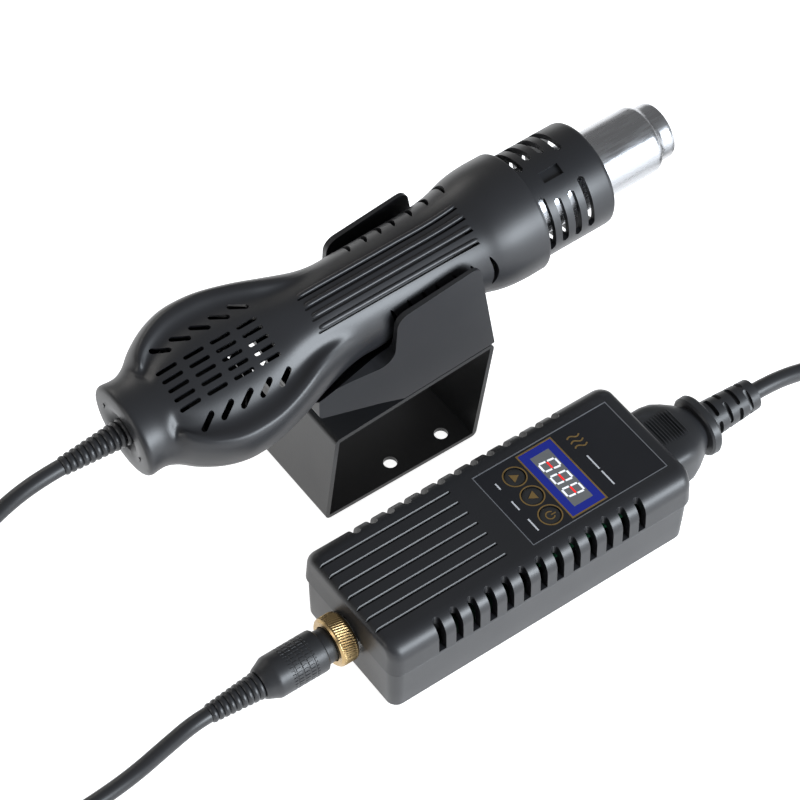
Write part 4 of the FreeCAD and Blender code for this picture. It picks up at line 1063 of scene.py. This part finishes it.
def coil_points(ring, diameter, turns, start, places, leave):
    """Control points of stacked turns. Each place is (column, level), and the last part of each turn moves on
    to the next. From turn leave[0] to leave[1] the coil goes out to the column leave[2]."""
    per_turn = 14
    points = []
    for step in range(int(per_turn * turns) + 1):
        turn = step / per_turn
        index = min(int(turn), len(places) - 1)
        following = places[min(index + 1, len(places) - 1)]
        blend = smoothstep(0.65, 1.0, turn - index)
        column = places[index][0] + (following[0] - places[index][0]) * blend
        level = places[index][1] + (following[1] - places[index][1]) * blend
        column += (leave[2] - column) * smoothstep(leave[0], leave[1], turn)
        angle = start + 2 * math.pi * turn
        radius = ring["radius"] + column * diameter * 0.52
        z = COIL_LIFT + diameter * (0.52 + level)
        points.append((ring["x"] + radius * math.cos(angle), ring["y"] + radius * math.sin(angle), z))
    return points


def spline_object(name, points, diameter, material):
    curve = bpy.data.curves.new(name, "CURVE")
    curve.dimensions = "3D"
    curve.resolution_u = 10
    curve.bevel_depth = diameter / 2
    curve.bevel_resolution = 6
    curve.use_fill_caps = True
    spline = curve.splines.new("NURBS")
    spline.points.add(len(points) - 1)
    for spot, point in zip(spline.points, points):
        spot.co = (*point, 1)
    spline.order_u = 3
    spline.use_endpoint_u = True
    curve.materials.append(MATERIALS[material])
    item = bpy.data.objects.new(name, curve)
    bpy.context.collection.objects.link(item)
    return item


def spline_line(points):
    """Points along the smooth line that the route's control points make."""
    bare = spline_object("line", points, 0.0, "cord_rubber")
    bare.data.use_fill_caps = False
    bpy.context.view_layer.update()
    mesh = bpy.data.meshes.new_from_object(bare.evaluated_get(bpy.context.evaluated_depsgraph_get()))
    line = [vertex.co.copy() for vertex in mesh.vertices]
    bpy.data.meshes.remove(mesh)
    bpy.data.objects.remove(bare)
    return line


def line_length(line):
    return sum((b - a).length for a, b in zip(line, line[1:]))


def tube_object(name, line, diameter, material, sides=20):
    """Mesh tube along a line, with its cross-sections carried along without twist."""
    rings = []
    tangent = (line[1] - line[0]).normalized()
    side = tangent.orthogonal().normalized()
    for index, spot in enumerate(line):
        before, after = line[max(index - 1, 0)], line[min(index + 1, len(line) - 1)]
        heading = (after - before).normalized()
        side = (side - heading * side.dot(heading)).normalized()
        other = heading.cross(side)
        rings.append([spot + (side * math.cos(a) + other * math.sin(a)) * diameter / 2
                      for a in [2 * math.pi * s / sides for s in range(sides)]])
    verts, faces = rings_mesh(rings)
    return piece(name, verts, faces, material, None)


def make_cable():
    """Handpiece cable: from the handpiece to its coil, and from the cable plug to the coil."""
    start = math.radians(90)
    turns = coil_points(CABLE_COIL, CABLE_D, 5.5, start, CABLE_PLACES, (5.25, 5.5, 3.42))
    line = spline_line(CABLE_TO_GUN + turns[1:])
    cable = tube_object("handpiece_cable", line, CABLE_D, "cord_rubber")
    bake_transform(cable)
    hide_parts("cable_gun_end", "cable_coil")
    line = spline_line(CABLE_TO_PLUG)
    tail = tube_object("plug_cable", line, CABLE_D, "cord_rubber")
    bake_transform(tail)
    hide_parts("cable_plug_end")


def make_mains_lead():
    turns = coil_points(CORD_COIL, CORD_D, 6.0, math.radians(-96), CORD_PLACES, (5.25, 5.6, 3))
    points = CORD_TO_BOX + turns + CORD_TO_PLUG
    cord = spline_object("mains_lead_cord", points, CORD_D, "cord_rubber")
    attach(cord, "mains_lead")
    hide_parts("mains_cord", "mains_cord_end", "mains_coil")
    length = line_length(spline_line(points))


# Stage --------------------------------------------------------------------------------------------

def make_stage():
    floor_mesh = bpy.data.meshes.new("floor")
    reach = 6.0
    corners = [(-reach, -reach, 0), (reach, -reach, 0), (reach, reach, 0), (-reach, reach, 0)]
    floor_mesh.from_pydata(corners, [], [(0, 1, 2, 3)])
    floor = bpy.data.objects.new("floor", floor_mesh)
    bpy.context.collection.objects.link(floor)
    floor.location.z = -0.0002
    material, nodes, links, shader = new_material("floor_white")
    shader.inputs["Base Color"].default_value = (0.9, 0.9, 0.9, 1)
    shader.inputs["Roughness"].default_value = 0.9
    shader.inputs["Specular IOR Level"].default_value = 0.1
    shader.inputs["Emission Color"].default_value = (1, 1, 1, 1)
    shader.inputs["Emission Strength"].default_value = 0.9
    floor_mesh.materials.append(material)
    floor.visible_diffuse = False
    world = bpy.data.worlds.new("studio")
    bpy.context.scene.world = world
    world.use_nodes = True
    background = world.node_tree.nodes["Background"]
    background.inputs["Color"].default_value = (1, 1, 1, 1)
    background.inputs["Strength"].default_value = 0.24
    for name, place, aim, size, power, color in (
            ("key_light", (0.41, -1.04, 0.46), (0, 0.03, 0.04), (0.9, 0.5), 26.0, (0.86, 0.93, 1.0)),
            ("back_light", (-0.15, 1.25, 0.75), (0, 0.03, 0.03), (1.0, 0.35), 4.0, (1.0, 0.98, 0.95)),
            ("left_light", (-1.25, 0.15, 0.50), (0, 0.03, 0.03), (0.5, 0.6), 3.0, (1.0, 0.99, 0.97))):
        data = bpy.data.lights.new(name, "AREA")
        data.shape = "RECTANGLE"
        data.size, data.size_y = size
        data.energy = power
        data.color = color
        lamp = bpy.data.objects.new(name, data)
        lamp.location = place
        lamp.rotation_euler = (Vector(place) - Vector(aim)).to_track_quat("Z", "Y").to_euler()
        bpy.context.collection.objects.link(lamp)
    bpy.context.scene.view_settings.view_transform = "Standard"


# Making ---------------------------------------------------------------------------------------------

make_camera()
MATERIALS = make_materials()
MATERIALS["white_print_dim"] = plastic("white_print_dim", (0.16, 0.165, 0.18), 0.4, 0.02)
paint_nodes(MATERIALS)
make_cable()
make_mains_lead()
make_handle()
make_relief()
make_barrel()
make_guard()
case_lid()
case_tub()
make_label()
make_keys()
make_plug()
make_connector()
for node in ("stand_cradle", "stand_bracket"):
    bevel(frame["nodes"][node], 0.9 if node == "stand_cradle" else 0.25, 3, 35.0)
make_stage()
